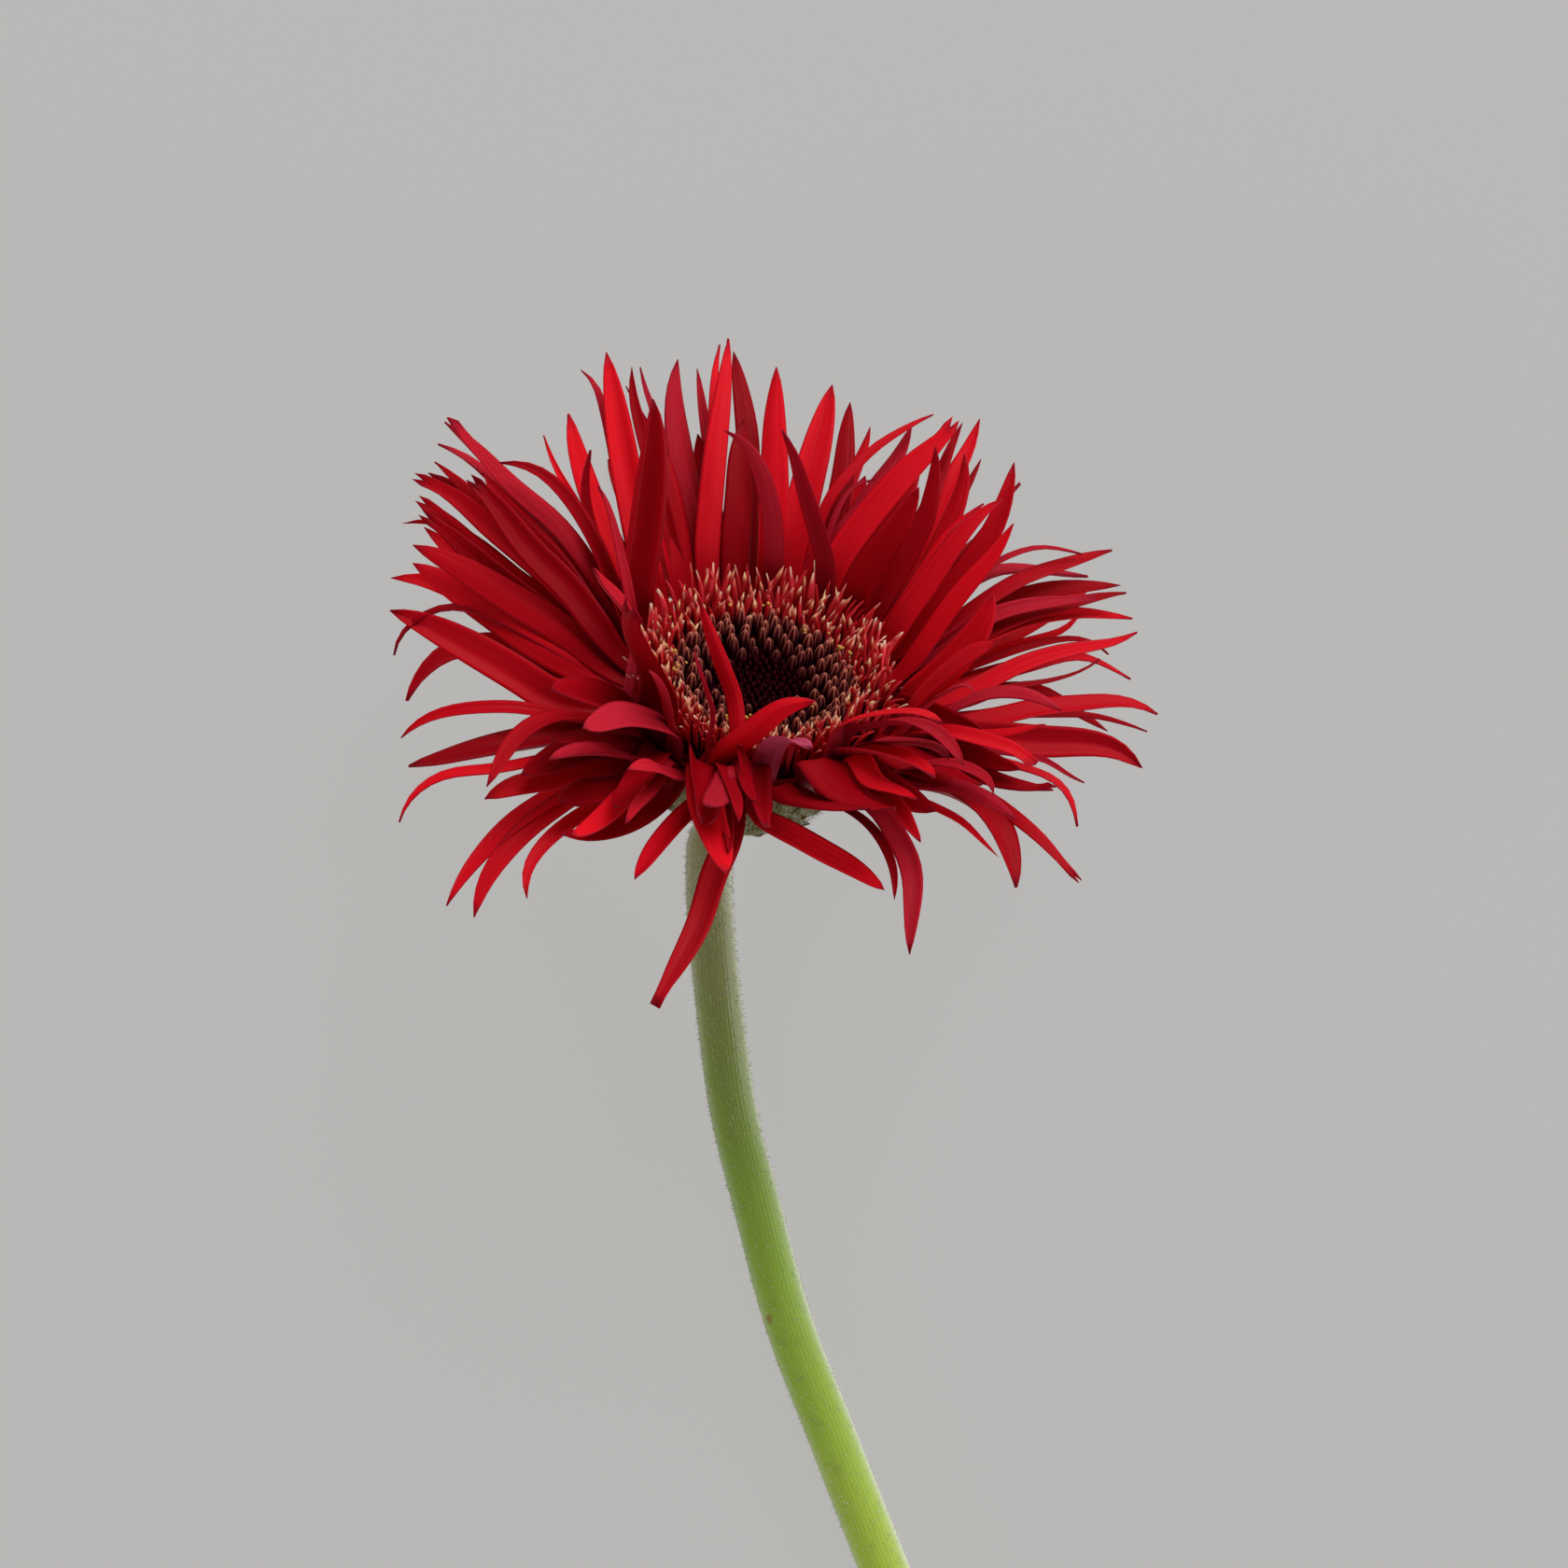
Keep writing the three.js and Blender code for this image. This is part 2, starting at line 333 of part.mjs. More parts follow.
// Draws together the ends of every edge shorter than SHORTEST_EDGE, where the skin stays closed
// and no face turns over. Fusing leaves such edges where blades cross.
function withoutShortEdges(points, triangles) {
  const around = points.map(() => new Set());
  triangles.forEach((triangle, i) => triangle.forEach((corner) => around[corner].add(i)));
  const neighbours = (corner) => new Set(
    [...around[corner]].flatMap((i) => triangles[i]).filter((other) => other !== corner));
  const normalOf = ([a, b, c]) => new THREE.Vector3().crossVectors(
    points[b].clone().sub(points[a]), points[c].clone().sub(points[a]));
  const canMove = (from, to) => {
    const shared = [...neighbours(from)].filter((corner) => neighbours(to).has(corner));
    if (shared.length !== 2) return false;
    const faces = new Set([...around[to]].map((i) => [...triangles[i]].sort().join()));
    return [...around[from]].every((i) => {
      if (triangles[i].includes(to)) return true;
      const moved = triangles[i].map((corner) => (corner === from ? to : corner));
      if (faces.has([...moved].sort().join())) return false;
      const before = normalOf(triangles[i]);
      const after = normalOf(moved);
      if (before.length() < TINY_FACE) return after.length() >= before.length();
      return after.length() > TINY_FACE && before.normalize().dot(after.normalize()) > 0.3;
    });
  };
  const move = (from, to) => {
    for (const i of around[from]) {
      if (triangles[i].includes(to)) {
        triangles[i].forEach((corner) => corner !== from && around[corner].delete(i));
        triangles[i] = null;
      } else {
        triangles[i] = triangles[i].map((corner) => (corner === from ? to : corner));
        around[to].add(i);
      }
    }
    around[from] = new Set();
  };
  for (let moved = true; moved;) {
    moved = false;
    for (const triangle of [...triangles]) {
      for (let k = 0; triangle && k < 3; k++) {
        const [a, b] = [triangle[k], triangle[(k + 1) % 3]];
        const alive = around[a].size > 0 && around[b].size > 0 && neighbours(a).has(b);
        if (!alive || points[a].distanceTo(points[b]) >= SHORTEST_EDGE) continue;
        const way = canMove(a, b) ? [a, b] : canMove(b, a) ? [b, a] : null;
        if (way) {
          move(...way);
          moved = true;
        }
      }
    }
  }
  return triangles.filter(Boolean);
}

function skinGeometry(solid) {
  const mesh = solid.getMesh();
  const points = [];
  for (let i = 0; i < mesh.vertProperties.length; i += 3) {
    points.push(new THREE.Vector3().fromArray(mesh.vertProperties, i));
  }
  const triangles = withoutShortEdges(points, biggestSkin(mesh.triVerts, points.length));
  const geometry = new THREE.BufferGeometry().setFromPoints(points);
  geometry.setIndex(triangles.flat());
  const flat = geometry.toNonIndexed();
  flat.computeVertexNormals();
  return flat;
}

function fuse(geometries) {
  let solids = geometries.map(toSolid);
  while (solids.length > 1) {
    const joined = [];
    for (let i = 0; i < solids.length; i += 2) {
      joined.push(i + 1 < solids.length ? solids[i].add(solids[i + 1]) : solids[i]);
    }
    solids = joined;
  }
  return skinGeometry(solids[0]);
}

// A three-sided blade. place(t, across, down) puts a point of its section: t runs from root to
// tip, across from -1 to 1 between its edges, and down is 1 on the keel.
function blade(stations, place) {
  const steps = stations.length - 1;
  const cone = welded(new THREE.ConeGeometry(1, 1, 3, steps));
  const position = cone.attributes.position;
  const point = new THREE.Vector3();
  for (let i = 0; i < position.count; i++) {
    point.fromBufferAttribute(position, i);
    const station = Math.round((point.y + 0.5) * steps);
    const girth = Math.max(1 - station / steps, 1e-6);
    const onAxis = Math.hypot(point.x, point.z) < 1e-5;
    const across = onAxis ? 0 : point.x / girth / 0.866;
    const down = onAxis ? 0.33 : (point.z / girth + 0.5) / 1.5;
    point.copy(place(stations[station], across, station === steps ? 0 : down));
    position.setXYZ(i, point.x, point.y, point.z);
  }
  return cone;
}

// How wide a petal is along its length: narrow at the root, widest past the middle, pointed.
function petalProfile(t) {
  const grown = 0.42 + 0.58 * Math.min(t / 0.4, 1);
  const taper = t < 0.45 ? 1 : 1 - ((t - 0.45) / 0.55) ** 2.9;
  return grown * taper;
}

// Moves a point of a petal out of the room that the florets take.
function clearOfFlorets(local) {
  const radius = Math.hypot(local.x, local.y);
  const beside = local.z > CORE_TOP - 0.6 && local.z < FLORET_CLEAR_HEIGHT;
  if (beside && radius < FLORET_CLEAR_RADIUS) {
    const scale = FLORET_CLEAR_RADIUS / radius;
    local.x *= scale;
    local.y *= scale;
  }
  return local;
}

function azimuthOf(point) {
  return Math.atan2(point.y, point.x) / DEGREES;
}

// A petal's root, and a plain arched curve to its tip, when it leaves the head at an azimuth.
function plainCurve(petal, azimuth) {
  const tip = petal.tip;
  const reach = Math.hypot(tip.x, tip.y) - PETAL_RIM_RADIUS;
  const elevation = Math.atan2(tip.z + 9, reach) / DEGREES;
  const rimHeight = lerp(OUTER_RIM_HEIGHT, INNER_RIM_HEIGHT, THREE.MathUtils.clamp(elevation / 50, 0, 1));
  const root = headPoint(azimuth, PETAL_ROOT_RADIUS, rimHeight);
  const rim = headPoint(azimuth, PETAL_RIM_RADIUS, rimHeight);
  const chord = tip.clone().sub(rim);
  const side = headPoint(azimuth + 90, 1, 0);
  const lift = new THREE.Vector3().crossVectors(chord, side).setLength(chord.length() * petal.arch * 1.33);
  const curve = new THREE.CubicBezierCurve3(
    rim,
    rim.clone().addScaledVector(chord, 0.16).add(lift),
    rim.clone().addScaledVector(chord, 0.64).add(lift),
    tip);
  return { root, curve };
}

// The points that a petal's path passes, from its rim outward, as high as its plain curve.
function petalGuides(petal, curve) {
  if (petal.path.length === 0) return [curve.getPoint(1 / 3), curve.getPoint(2 / 3)];
  const inPlan = (point) => new THREE.Vector2().copy(point.clone().applyMatrix4(HEAD));
  const path = petal.path.map(([x, y]) => new THREE.Vector2(x, y)).reverse();
  const places = [inPlan(curve.v0), ...path, inPlan(curve.v3)];
  const lengths = [0];
  for (let i = 1; i < places.length; i++) {
    lengths.push(lengths[i - 1] + places[i].distanceTo(places[i - 1]));
  }
  return path.map((place, i) => {
    const beside = curve.getPoint(lengths[i + 1] / lengths.at(-1)).applyMatrix4(HEAD);
    return new THREE.Vector3(place.x, place.y, beside.z).applyMatrix4(HEAD_INVERSE);
  });
}

// A petal's middle line in the head's frame, from its root in the core over the rim to its tip.
function petalLine(petal) {
  let azimuth = azimuthOf(petal.tip);
  let line;
  for (let pass = 0; pass < 3; pass++) {
    const { root, curve } = plainCurve(petal, azimuth);
    const guides = petalGuides(petal, curve);
    line = new THREE.CatmullRomCurve3([root, curve.v0, ...guides, curve.v3]);
    azimuth = azimuthOf(guides[0]);
  }
  return line;
}

// Each station of a petal: its middle, and the directions across it and out of its face.
function petalSections(petal) {
  const line = petalLine(petal);
  const pointAt = (t) => {
    const point = line.getPointAt(t);
    return t <= PETAL_STATIONS[1] ? point : clearOfFlorets(point);
  };
  const wide = headPoint(azimuthOf(line.getPoint(0)) + 90, 1, 0);
  return PETAL_STATIONS.map((t) => {
    const along = pointAt(Math.min(t + 0.04, 1)).sub(pointAt(Math.max(t - 0.04, 0))).normalize();
    wide.addScaledVector(along, -wide.dot(along)).normalize();
    const turned = wide.clone().applyAxisAngle(along, petal.twist * t * t * DEGREES);
    return { middle: pointAt(t), wide: turned, face: along.cross(turned) };
  });
}

function petalGeometry(petal) {
  const sections = petalSections(petal);
  return blade(PETAL_STATIONS, (t, across, down) => {
    const { middle, wide, face } = sections[PETAL_STATIONS.indexOf(t)];
    const halfWidth = petal.width * EDGE_ON / 2 * petalProfile(t);
    const thickness = lerp(PETAL_THICKNESS, PETAL_TIP_THICKNESS, t);
    const turned = petal.pressed ? -1 : 1;
    const point = middle.clone().addScaledVector(wide, across * halfWidth * turned);
    point.addScaledVector(face, -down * thickness * turned);
    point.applyMatrix4(HEAD);
    if (petal.pressed) point.z = Math.max(point.z, down > 0.9 ? thickness : 0);
    return point;
  });
}

function seenPetals(random) {
  return PETALS.map(({ tip: [x, y, height], width, arch = PETAL_ARCH, path }) => ({
    tip: new THREE.Vector3(x, y, height).applyMatrix4(HEAD_INVERSE),
    width, arch, path,
    twist: (random() * 2 - 1) * PETAL_TWIST,
    pressed: false,
  }));
}

function backPetals(random) {
  return Array.from({ length: BACK_PETALS }, (_, i) => {
    const azimuth = lerp(BACK_FROM, BACK_TO, (i + 0.3 + 0.4 * random()) / BACK_PETALS);
    const elevation = (BACK_ELEVATION + 12 * (random() - 0.5)) * DEGREES;
    const length = BACK_LENGTH + 4 * (random() - 0.5);
    const reach = PETAL_RIM_RADIUS + length * Math.cos(elevation);
    return {
      tip: headPoint(azimuth, reach, OUTER_RIM_HEIGHT + length * Math.sin(elevation)),
      width: BACK_WIDTH + 0.6 * (random() - 0.5),
      arch: -0.06,
      path: [],
      twist: 0,
      pressed: true,
    };
  });
}

function petalCore() {
  const depth = CORE_TOP - CORE_BOTTOM;
  const core = new THREE.CylinderGeometry(CORE_TOP_RADIUS, CORE_BOTTOM_RADIUS, depth, 32);
  core.rotateX(Math.PI / 2);
  core.translate(0, 0, CORE_BOTTOM + depth / 2);
  return core.applyMatrix4(HEAD);
}

function rayPetals() {
  const random = randomFrom(PETAL_SEED);
  const petals = [...seenPetals(random), ...backPetals(random)];
  return fuse([petalCore(), ...petals.map(petalGeometry)]);
}

// A ring or disc under a ring of florets.
function floretBase(inner, outer, crown) {
  const profile = inner > 0
    ? [[inner, BASE_BOTTOM], [outer, BASE_BOTTOM], [outer, BASE_TOP], [inner, BASE_TOP + crown], [inner, BASE_BOTTOM]]
    : [[0, BASE_BOTTOM], [outer, BASE_BOTTOM], [outer, BASE_TOP], [outer * 0.5, BASE_TOP + crown], [0, BASE_TOP + crown]];
  const lathe = new THREE.LatheGeometry(profile.map(([r, h]) => new THREE.Vector2(r, h)), 36);
  return lathe.rotateX(Math.PI / 2);
}

// One floret: a few-sided spike with a belly, its root sunk in the base, leaning outward.
function floret(azimuth, radius, base, height, girth, sides, belly, lean) {
  const length = height + FLORET_ROOT_DEPTH;
  const cone = new THREE.ConeGeometry(1, 1, sides, 2);
  const position = cone.attributes.position;
  for (let i = 0; i < position.count; i++) {
    const t = position.getY(i) + 0.5;
    const width = girth * (Math.abs(t - 0.5) < 0.1 ? belly * 2 : 1);
    const bow = lean * t * t * length;
    position.setXYZ(i, position.getX(i) * width + bow, position.getZ(i) * -width, t * length);
  }
  cone.rotateZ(azimuth * DEGREES);
  const root = headPoint(azimuth, radius, base - FLORET_ROOT_DEPTH);
  return cone.translate(root.x, root.y, root.z);
}

// Rings of [radius, count], every second ring set half a step round.
function floretRings(rings, random, build) {
  return rings.flatMap(([radius, count], ring) => Array.from({ length: count }, (_, i) => {
    const azimuth = 360 * (i + 0.5 * (ring % 2) + 0.25 * random()) / count;
    return build(azimuth, radius, random);
  }));
}

function transFlorets() {
  const spikes = floretRings(TRANS_RINGS, randomFrom(TRANS_SEED), (azimuth, radius, random) => floret(
    azimuth, radius, BASE_TOP, TRANS_LENGTH * (0.82 + 0.18 * random()), TRANS_RADIUS, 3, 0.8,
    0.06 + 0.16 * random()));
  return fuse([floretBase(TRANS_INNER, TRANS_OUTER, 0), ...spikes]);
}

function discBuds() {
  const buds = floretRings(BUD_RINGS, randomFrom(BUD_SEED), (azimuth, radius, random) => floret(
    azimuth, radius, BASE_TOP, BUD_LENGTH * (0.5 + 0.045 * radius), BUD_RADIUS, 3, 0.85,
    0.03 + 0.05 * random()));
  return fuse([floretBase(BUDS_INNER, BUDS_OUTER, -0.1), ...buds]);
}

function discHeart() {
  const buds = floretRings(HEART_RINGS, () => 0, (azimuth, radius) => floret(
    azimuth, radius, BASE_TOP + 0.3, 0.8 + 0.14 * radius, 0.9, 3, 0.6, 0));
  return fuse([floretBase(0, HEART_RADIUS, 0.4), ...buds]);
}

// The cup drifts sideways towards its foot, where the neck of the stalk bends.
function driftCup(geometry) {
  const position = geometry.attributes.position;
  for (let i = 0; i < position.count; i++) {
    position.setX(i, position.getX(i) + NECK_DRIFT * (position.getZ(i) - CUP_WALL[0][1]));
  }
  return geometry;
}

function cupRadius(height) {
  const below = CUP_WALL.findIndex(([, h]) => h <= height);
  const [r1, h1] = CUP_WALL[Math.max(below, 1)];
  const [r0, h0] = CUP_WALL[Math.max(below, 1) - 1];
  return lerp(r0, r1, (height - h0) / (h1 - h0));
}

// One bract: a pointed scale that lies on the cup with its tip upward, half sunk in it.
function bract(azimuth, tipHeight, length, width) {
  const across3d = headPoint(azimuth + 90, 1, 0);
  return blade([0, 0.55, 1], (t, across, down) => {
    const height = tipHeight - length * (1 - t);
    const radius = cupRadius(Math.max(height, -25)) + lerp(-0.3, 1, t);
    const halfWidth = width / 2 * (1 - t ** 2.4);
    const point = headPoint(azimuth, radius - down * 1.1, height);
    return point.addScaledVector(across3d, -across * halfWidth);
  });
}

function calyx() {
  const foot = CUP_WALL[CUP_WALL.length - 1];
  const profile = [[0, foot[1]], ...[...CUP_WALL].reverse(), [0, CUP_WALL[0][1]]];
  const cup = new THREE.LatheGeometry(profile.map(([r, h]) => new THREE.Vector2(r, h)), CUP_SIDES);
  cup.rotateX(Math.PI / 2);
  const bracts = BRACT_ROWS.flatMap(([count, tipHeight, length, width], row) => Array.from(
    { length: count },
    (_, i) => bract(360 * (i + 0.5 * row) / count, tipHeight, length, width)));
  return driftCup(fuse([cup, ...bracts]));
}

// The stalk starts 0.3 mm under the foot of the cup, where the neck is squarely cut.
function stemCurve(flatToMiddle) {
  const foot = CUP_WALL[CUP_WALL.length - 1][1] - 0.3;
  const drift = NECK_DRIFT * (foot - CUP_WALL[0][1]);
  const top = new THREE.Vector3(drift, 0, foot).applyMatrix4(HEAD);
  const second = new THREE.Vector3(drift, 0, foot - 3).applyMatrix4(HEAD);
  const lying = STEM_POINTS.map(([x, y, z]) => new THREE.Vector3(x, y, Math.max(z, flatToMiddle)));
  return new THREE.CatmullRomCurve3([top, second, ...lying]);
}

function stem() {
  const flat = Math.cos(Math.PI / STEM_SIDES);
  const curve = stemCurve(CUT_RADIUS * flat);
  const tube = new THREE.CylinderGeometry(1, 1, 1, STEM_SIDES, STEM_STEPS);
  tube.rotateY(Math.PI / STEM_SIDES);
  const position = tube.attributes.position;
  for (let i = 0; i < position.count; i++) {
    const t = THREE.MathUtils.clamp(0.5 - position.getY(i), 0, 1);
    const middle = curve.getPointAt(t);
    const along = curve.getTangentAt(t).negate();
    const side = along.clone().cross(new THREE.Vector3(0, 0, 1)).normalize();
    const top = new THREE.Vector3().crossVectors(side, along);
    const radius = lerp(NECK_RADIUS, CUT_RADIUS, t);
    if (middle.z < CUT_RADIUS) middle.z = radius * flat;
    middle.addScaledVector(side, position.getX(i) * radius);
    middle.addScaledVector(top, position.getZ(i) * radius);
    middle.z = Math.abs(middle.z) < 0.1 ? 0 : middle.z;
    position.setXYZ(i, middle.x, middle.y, middle.z);
  }
  return tube;
}

function mesh(name, geometry, color, roughness) {
  const made = new THREE.Mesh(geometry, new THREE.MeshStandardMaterial({ color, roughness, metalness: 0 }));
  made.name = name;
  return made;
}

const head = new THREE.Group();
head.applyMatrix4(HEAD);
head.add(
  mesh('calyx', calyx(), 0x7d8f62, 0.8),
  mesh('trans_florets', transFlorets(), 0xb4443a, 0.6),
  mesh('disc_buds', discBuds(), 0x8a4a48, 0.6),
  mesh('disc_heart', discHeart(), 0x2c0b12, 0.7),
);

const flower = new THREE.Group();
flower.add(head, mesh('ray_petals', rayPetals(), 0xb5121b, 0.5), mesh('stem', stem(), 0x8fb04e, 0.6));

// The origin is the middle of the bottom of the flower's box.
flower.updateMatrixWorld(true);
const box = new THREE.Box3().setFromObject(flower, true);
const middle = box.getCenter(new THREE.Vector3());
flower.position.set(-middle.x, -middle.y, -box.min.z);

const gerbera = new THREE.Group();
gerbera.name = 'spider_gerbera';
gerbera.add(flower);

export default gerbera;
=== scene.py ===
"""A cut spider gerbera lying on a pale table, seen from straight above.

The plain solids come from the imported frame. Here each one is replaced by the finer thing that it
stands for: single petals with veins and teeth, florets, ribbed buds, bracts, hairs and the stalk's
skin. Sizes are in millimetres, and each finished mesh is scaled to metres.
"""

import math
import random

import bmesh
import bpy
from mathutils import Matrix, Vector


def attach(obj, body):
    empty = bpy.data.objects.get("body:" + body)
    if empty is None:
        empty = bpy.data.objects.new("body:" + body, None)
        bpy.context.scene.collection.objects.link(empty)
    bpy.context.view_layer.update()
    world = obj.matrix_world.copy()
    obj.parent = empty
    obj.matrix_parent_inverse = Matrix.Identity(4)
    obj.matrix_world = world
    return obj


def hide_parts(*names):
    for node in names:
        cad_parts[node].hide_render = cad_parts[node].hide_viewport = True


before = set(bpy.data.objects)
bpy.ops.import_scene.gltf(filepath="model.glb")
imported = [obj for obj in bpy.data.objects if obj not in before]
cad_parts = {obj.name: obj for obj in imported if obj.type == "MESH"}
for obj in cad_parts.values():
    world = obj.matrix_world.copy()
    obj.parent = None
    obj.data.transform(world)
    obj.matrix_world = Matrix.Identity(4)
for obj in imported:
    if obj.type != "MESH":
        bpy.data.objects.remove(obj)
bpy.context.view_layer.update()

MM = 0.001

# How the head is held: the middle of its face in the frame, and where it looks.
FACE_CENTRE = Vector((-1.0, 105.14, 39.0))
FACE_TILT = 48
FACE_LEAN = 9

# The photograph: its width, the middle of the face in it, and the real size of a pixel.
PHOTO_SIZE = 1680
FACE_PIXEL = (821, 705)
PIXEL = 0.128
CAMERA_DISTANCE = 6.0

# Petals. Heights in the head are measured along its axis from the tops of the florets.
CORE_PROFILE = [(12.4, -7.2), (17.0, -7.0), (16.4, -9.6), (14.5, -11.9), (13.0, -11.9)]
PETAL_ROOT_RADIUS = 13.5
PETAL_RIM_RADIUS = 17.6
INNER_RIM_HEIGHT = -8.3
OUTER_RIM_HEIGHT = -10.6
MIDDLE_RIM_HEIGHT = -9
# A petal that stands as steeply as this, in degrees, grows from the inner rim.
STEEPEST_RISE = 50
PETAL_THICKNESS = 0.5
PETAL_EDGE_THICKNESS = 0.16
PETAL_ARCH = 0.07
# The shares of its length by which a petal has its full fold, and lies turned as it stays.
FOLDED_BY = 0.3
TURNED_BY = 0.4
# The least and most of a petal's width that counts as seen from above, where it lies edge-on or flat.
LEAST_SEEN = 0.5
MOST_SEEN = 0.82
PETAL_TWIST = 24
PETAL_ROLL = 22
TOOTH_DEPTH = 1.5
PETAL_VEINS = 4
PETAL_SEED = 20

# A petal's mesh: strips across, rows along, and the rows near its middle where its width is measured.
PETAL_ACROSS = 8
PETAL_ALONG = 22
MIDDLE_ROWS = (8, 11, 14)
ROOT_ROWS = 3

# The range of brightness that each word stands for, partly a petal's own depth of red and partly
# painted shade and light, dark for a petal in shade and bright for a lit one; and how wide each
# kind of end stays.
TONES = {"dark": (0.0, 0.14), "usual": (0.3, 0.7), "bright": (0.84, 1.0)}
END_WIDTHS = {"pointed": 0.03, "toothed": 0.5, "blunt": 0.45}
# How deeply a petal is folded along its crease, where a word in its look says so.
FOLDS = {"flat": 0.06, "channelled": 0.6, "folded": 0.95}

# The florets keep this space free of petals.
FLORET_CLEAR_RADIUS = 19.4
FLORET_CLEAR_FLOOR = -7.6
FLORET_CLEAR_HEIGHT = 3.6

# Petals pressed to the table behind the head, between two azimuths, and how softly they bend there.
BACK_PETALS = 6
BACK_FROM = 28
BACK_TO = 152
BACK_LENGTH = 37
BACK_WIDTH = 3.4
BACK_ARCH = -0.06
PRESS_BEND = 3.0
TABLE_GAP = 0.05
PRESSED_THICKNESS = 0.3

# The disc: rings of (radius, count), and the lengths of what stands on it.
DISC_TOP = -5.9
DISC_FLOOR_RADIUS = 17
DISC_FLOOR_THICKNESS = 0.9
STRAP_RINGS = [(12.6, 50), (13.6, 56), (14.6, 62), (15.6, 66), (16.5, 70)]
STRAP_LENGTH = 8.9
STRAP_WIDTH = 0.95
STYLE_RINGS = [(12.2, 44), (13.1, 48), (14.1, 52), (15.1, 54), (16.1, 54)]
STYLE_LENGTH = 8.2
BUD_RINGS = [(5.9, 14), (7.3, 18), (8.7, 23), (10.0, 28), (11.2, 33), (12.0, 34)]
BUD_LENGTH = 4.2
BUD_RADIUS = 0.62
BUD_RIBS = 5
HEART_RADIUS = 5.6
HEART_BUDS = 90
HEART_BUD_GIRTH = 0.42
GOLDEN_ANGLE = 137.508
POLLEN_CLUMPS = 16
DISC_SEED = 31

# The cup of bracts: radius and height of its wall, and how far its foot drifts to one side.
CUP_WALL = [(14.2, -12.2), (14.7, -15.0), (14.2, -18.5), (12.0, -22.2), (8.0, -25.2), (4.6, -26.6)]
CUP_TOP = -11.9
BORE_RADIUS = 0.5
NECK_DRIFT = 0.13
# Rows of bracts: count, tip height, length, width.
BRACT_ROWS = [(17, -10.6, 9.5, 3.9), (17, -13.6, 9.0, 4.0), (15, -17.0, 8.0, 3.8), (12, -20.6, 6.0, 3.2)]
BRACT_THICKNESS = 0.5
BRACT_CUPPING = 0.35
BRACT_STRIPES = 5
LOWEST_BRACT = -25.5
CUP_HAIRS = 2600
CUP_HAIR_GIRTH = 0.035
CUP_SEED = 11

# The stalk: points of its middle line in plan from the middle of the face, then its height.
NECK_RADIUS = 3.15
CUT_RADIUS = 3.65
CUT_RIM = 0.7
CUT_DEPTH = 0.6
STALK_IN_CUP = 0.6
NECK_LENGTH = 3.6
STALK_RIBS = 9
STALK_RIB_DEPTH = 0.008
STALK_RIDGES = 36
STALK_SIDES = 32
STALK_RINGS = 180
STALK_POINTS = [
    (-7.5, -24.8, 16.4), (-7.9, -31.5, 11.4), (-7.5, -38, 7.9), (-6.5, -48, 4.6),
    (-4.6, -62, 0), (-1.4, -75, 0), (3.1, -91.6, 0), (9, -107, 0), (15.2, -122.8, 0),
    (22.5, -141, 0), (30.5, -162, 0), (37.5, -184, 0), (43, -207, 0), (46.5, -230, 0), (48.5, -254, 0),
]
STALK_HAIRS = 5200
STALK_HAIR_GIRTH = 0.042
HAIRY_LENGTH = 120
SCAR_PIXEL = (822, 1417)
SCAR_ALONG = 0.45
SCAR_BELOW_TOP = 0.7
STALK_SEED = 5

HAIR_SIDES = 3

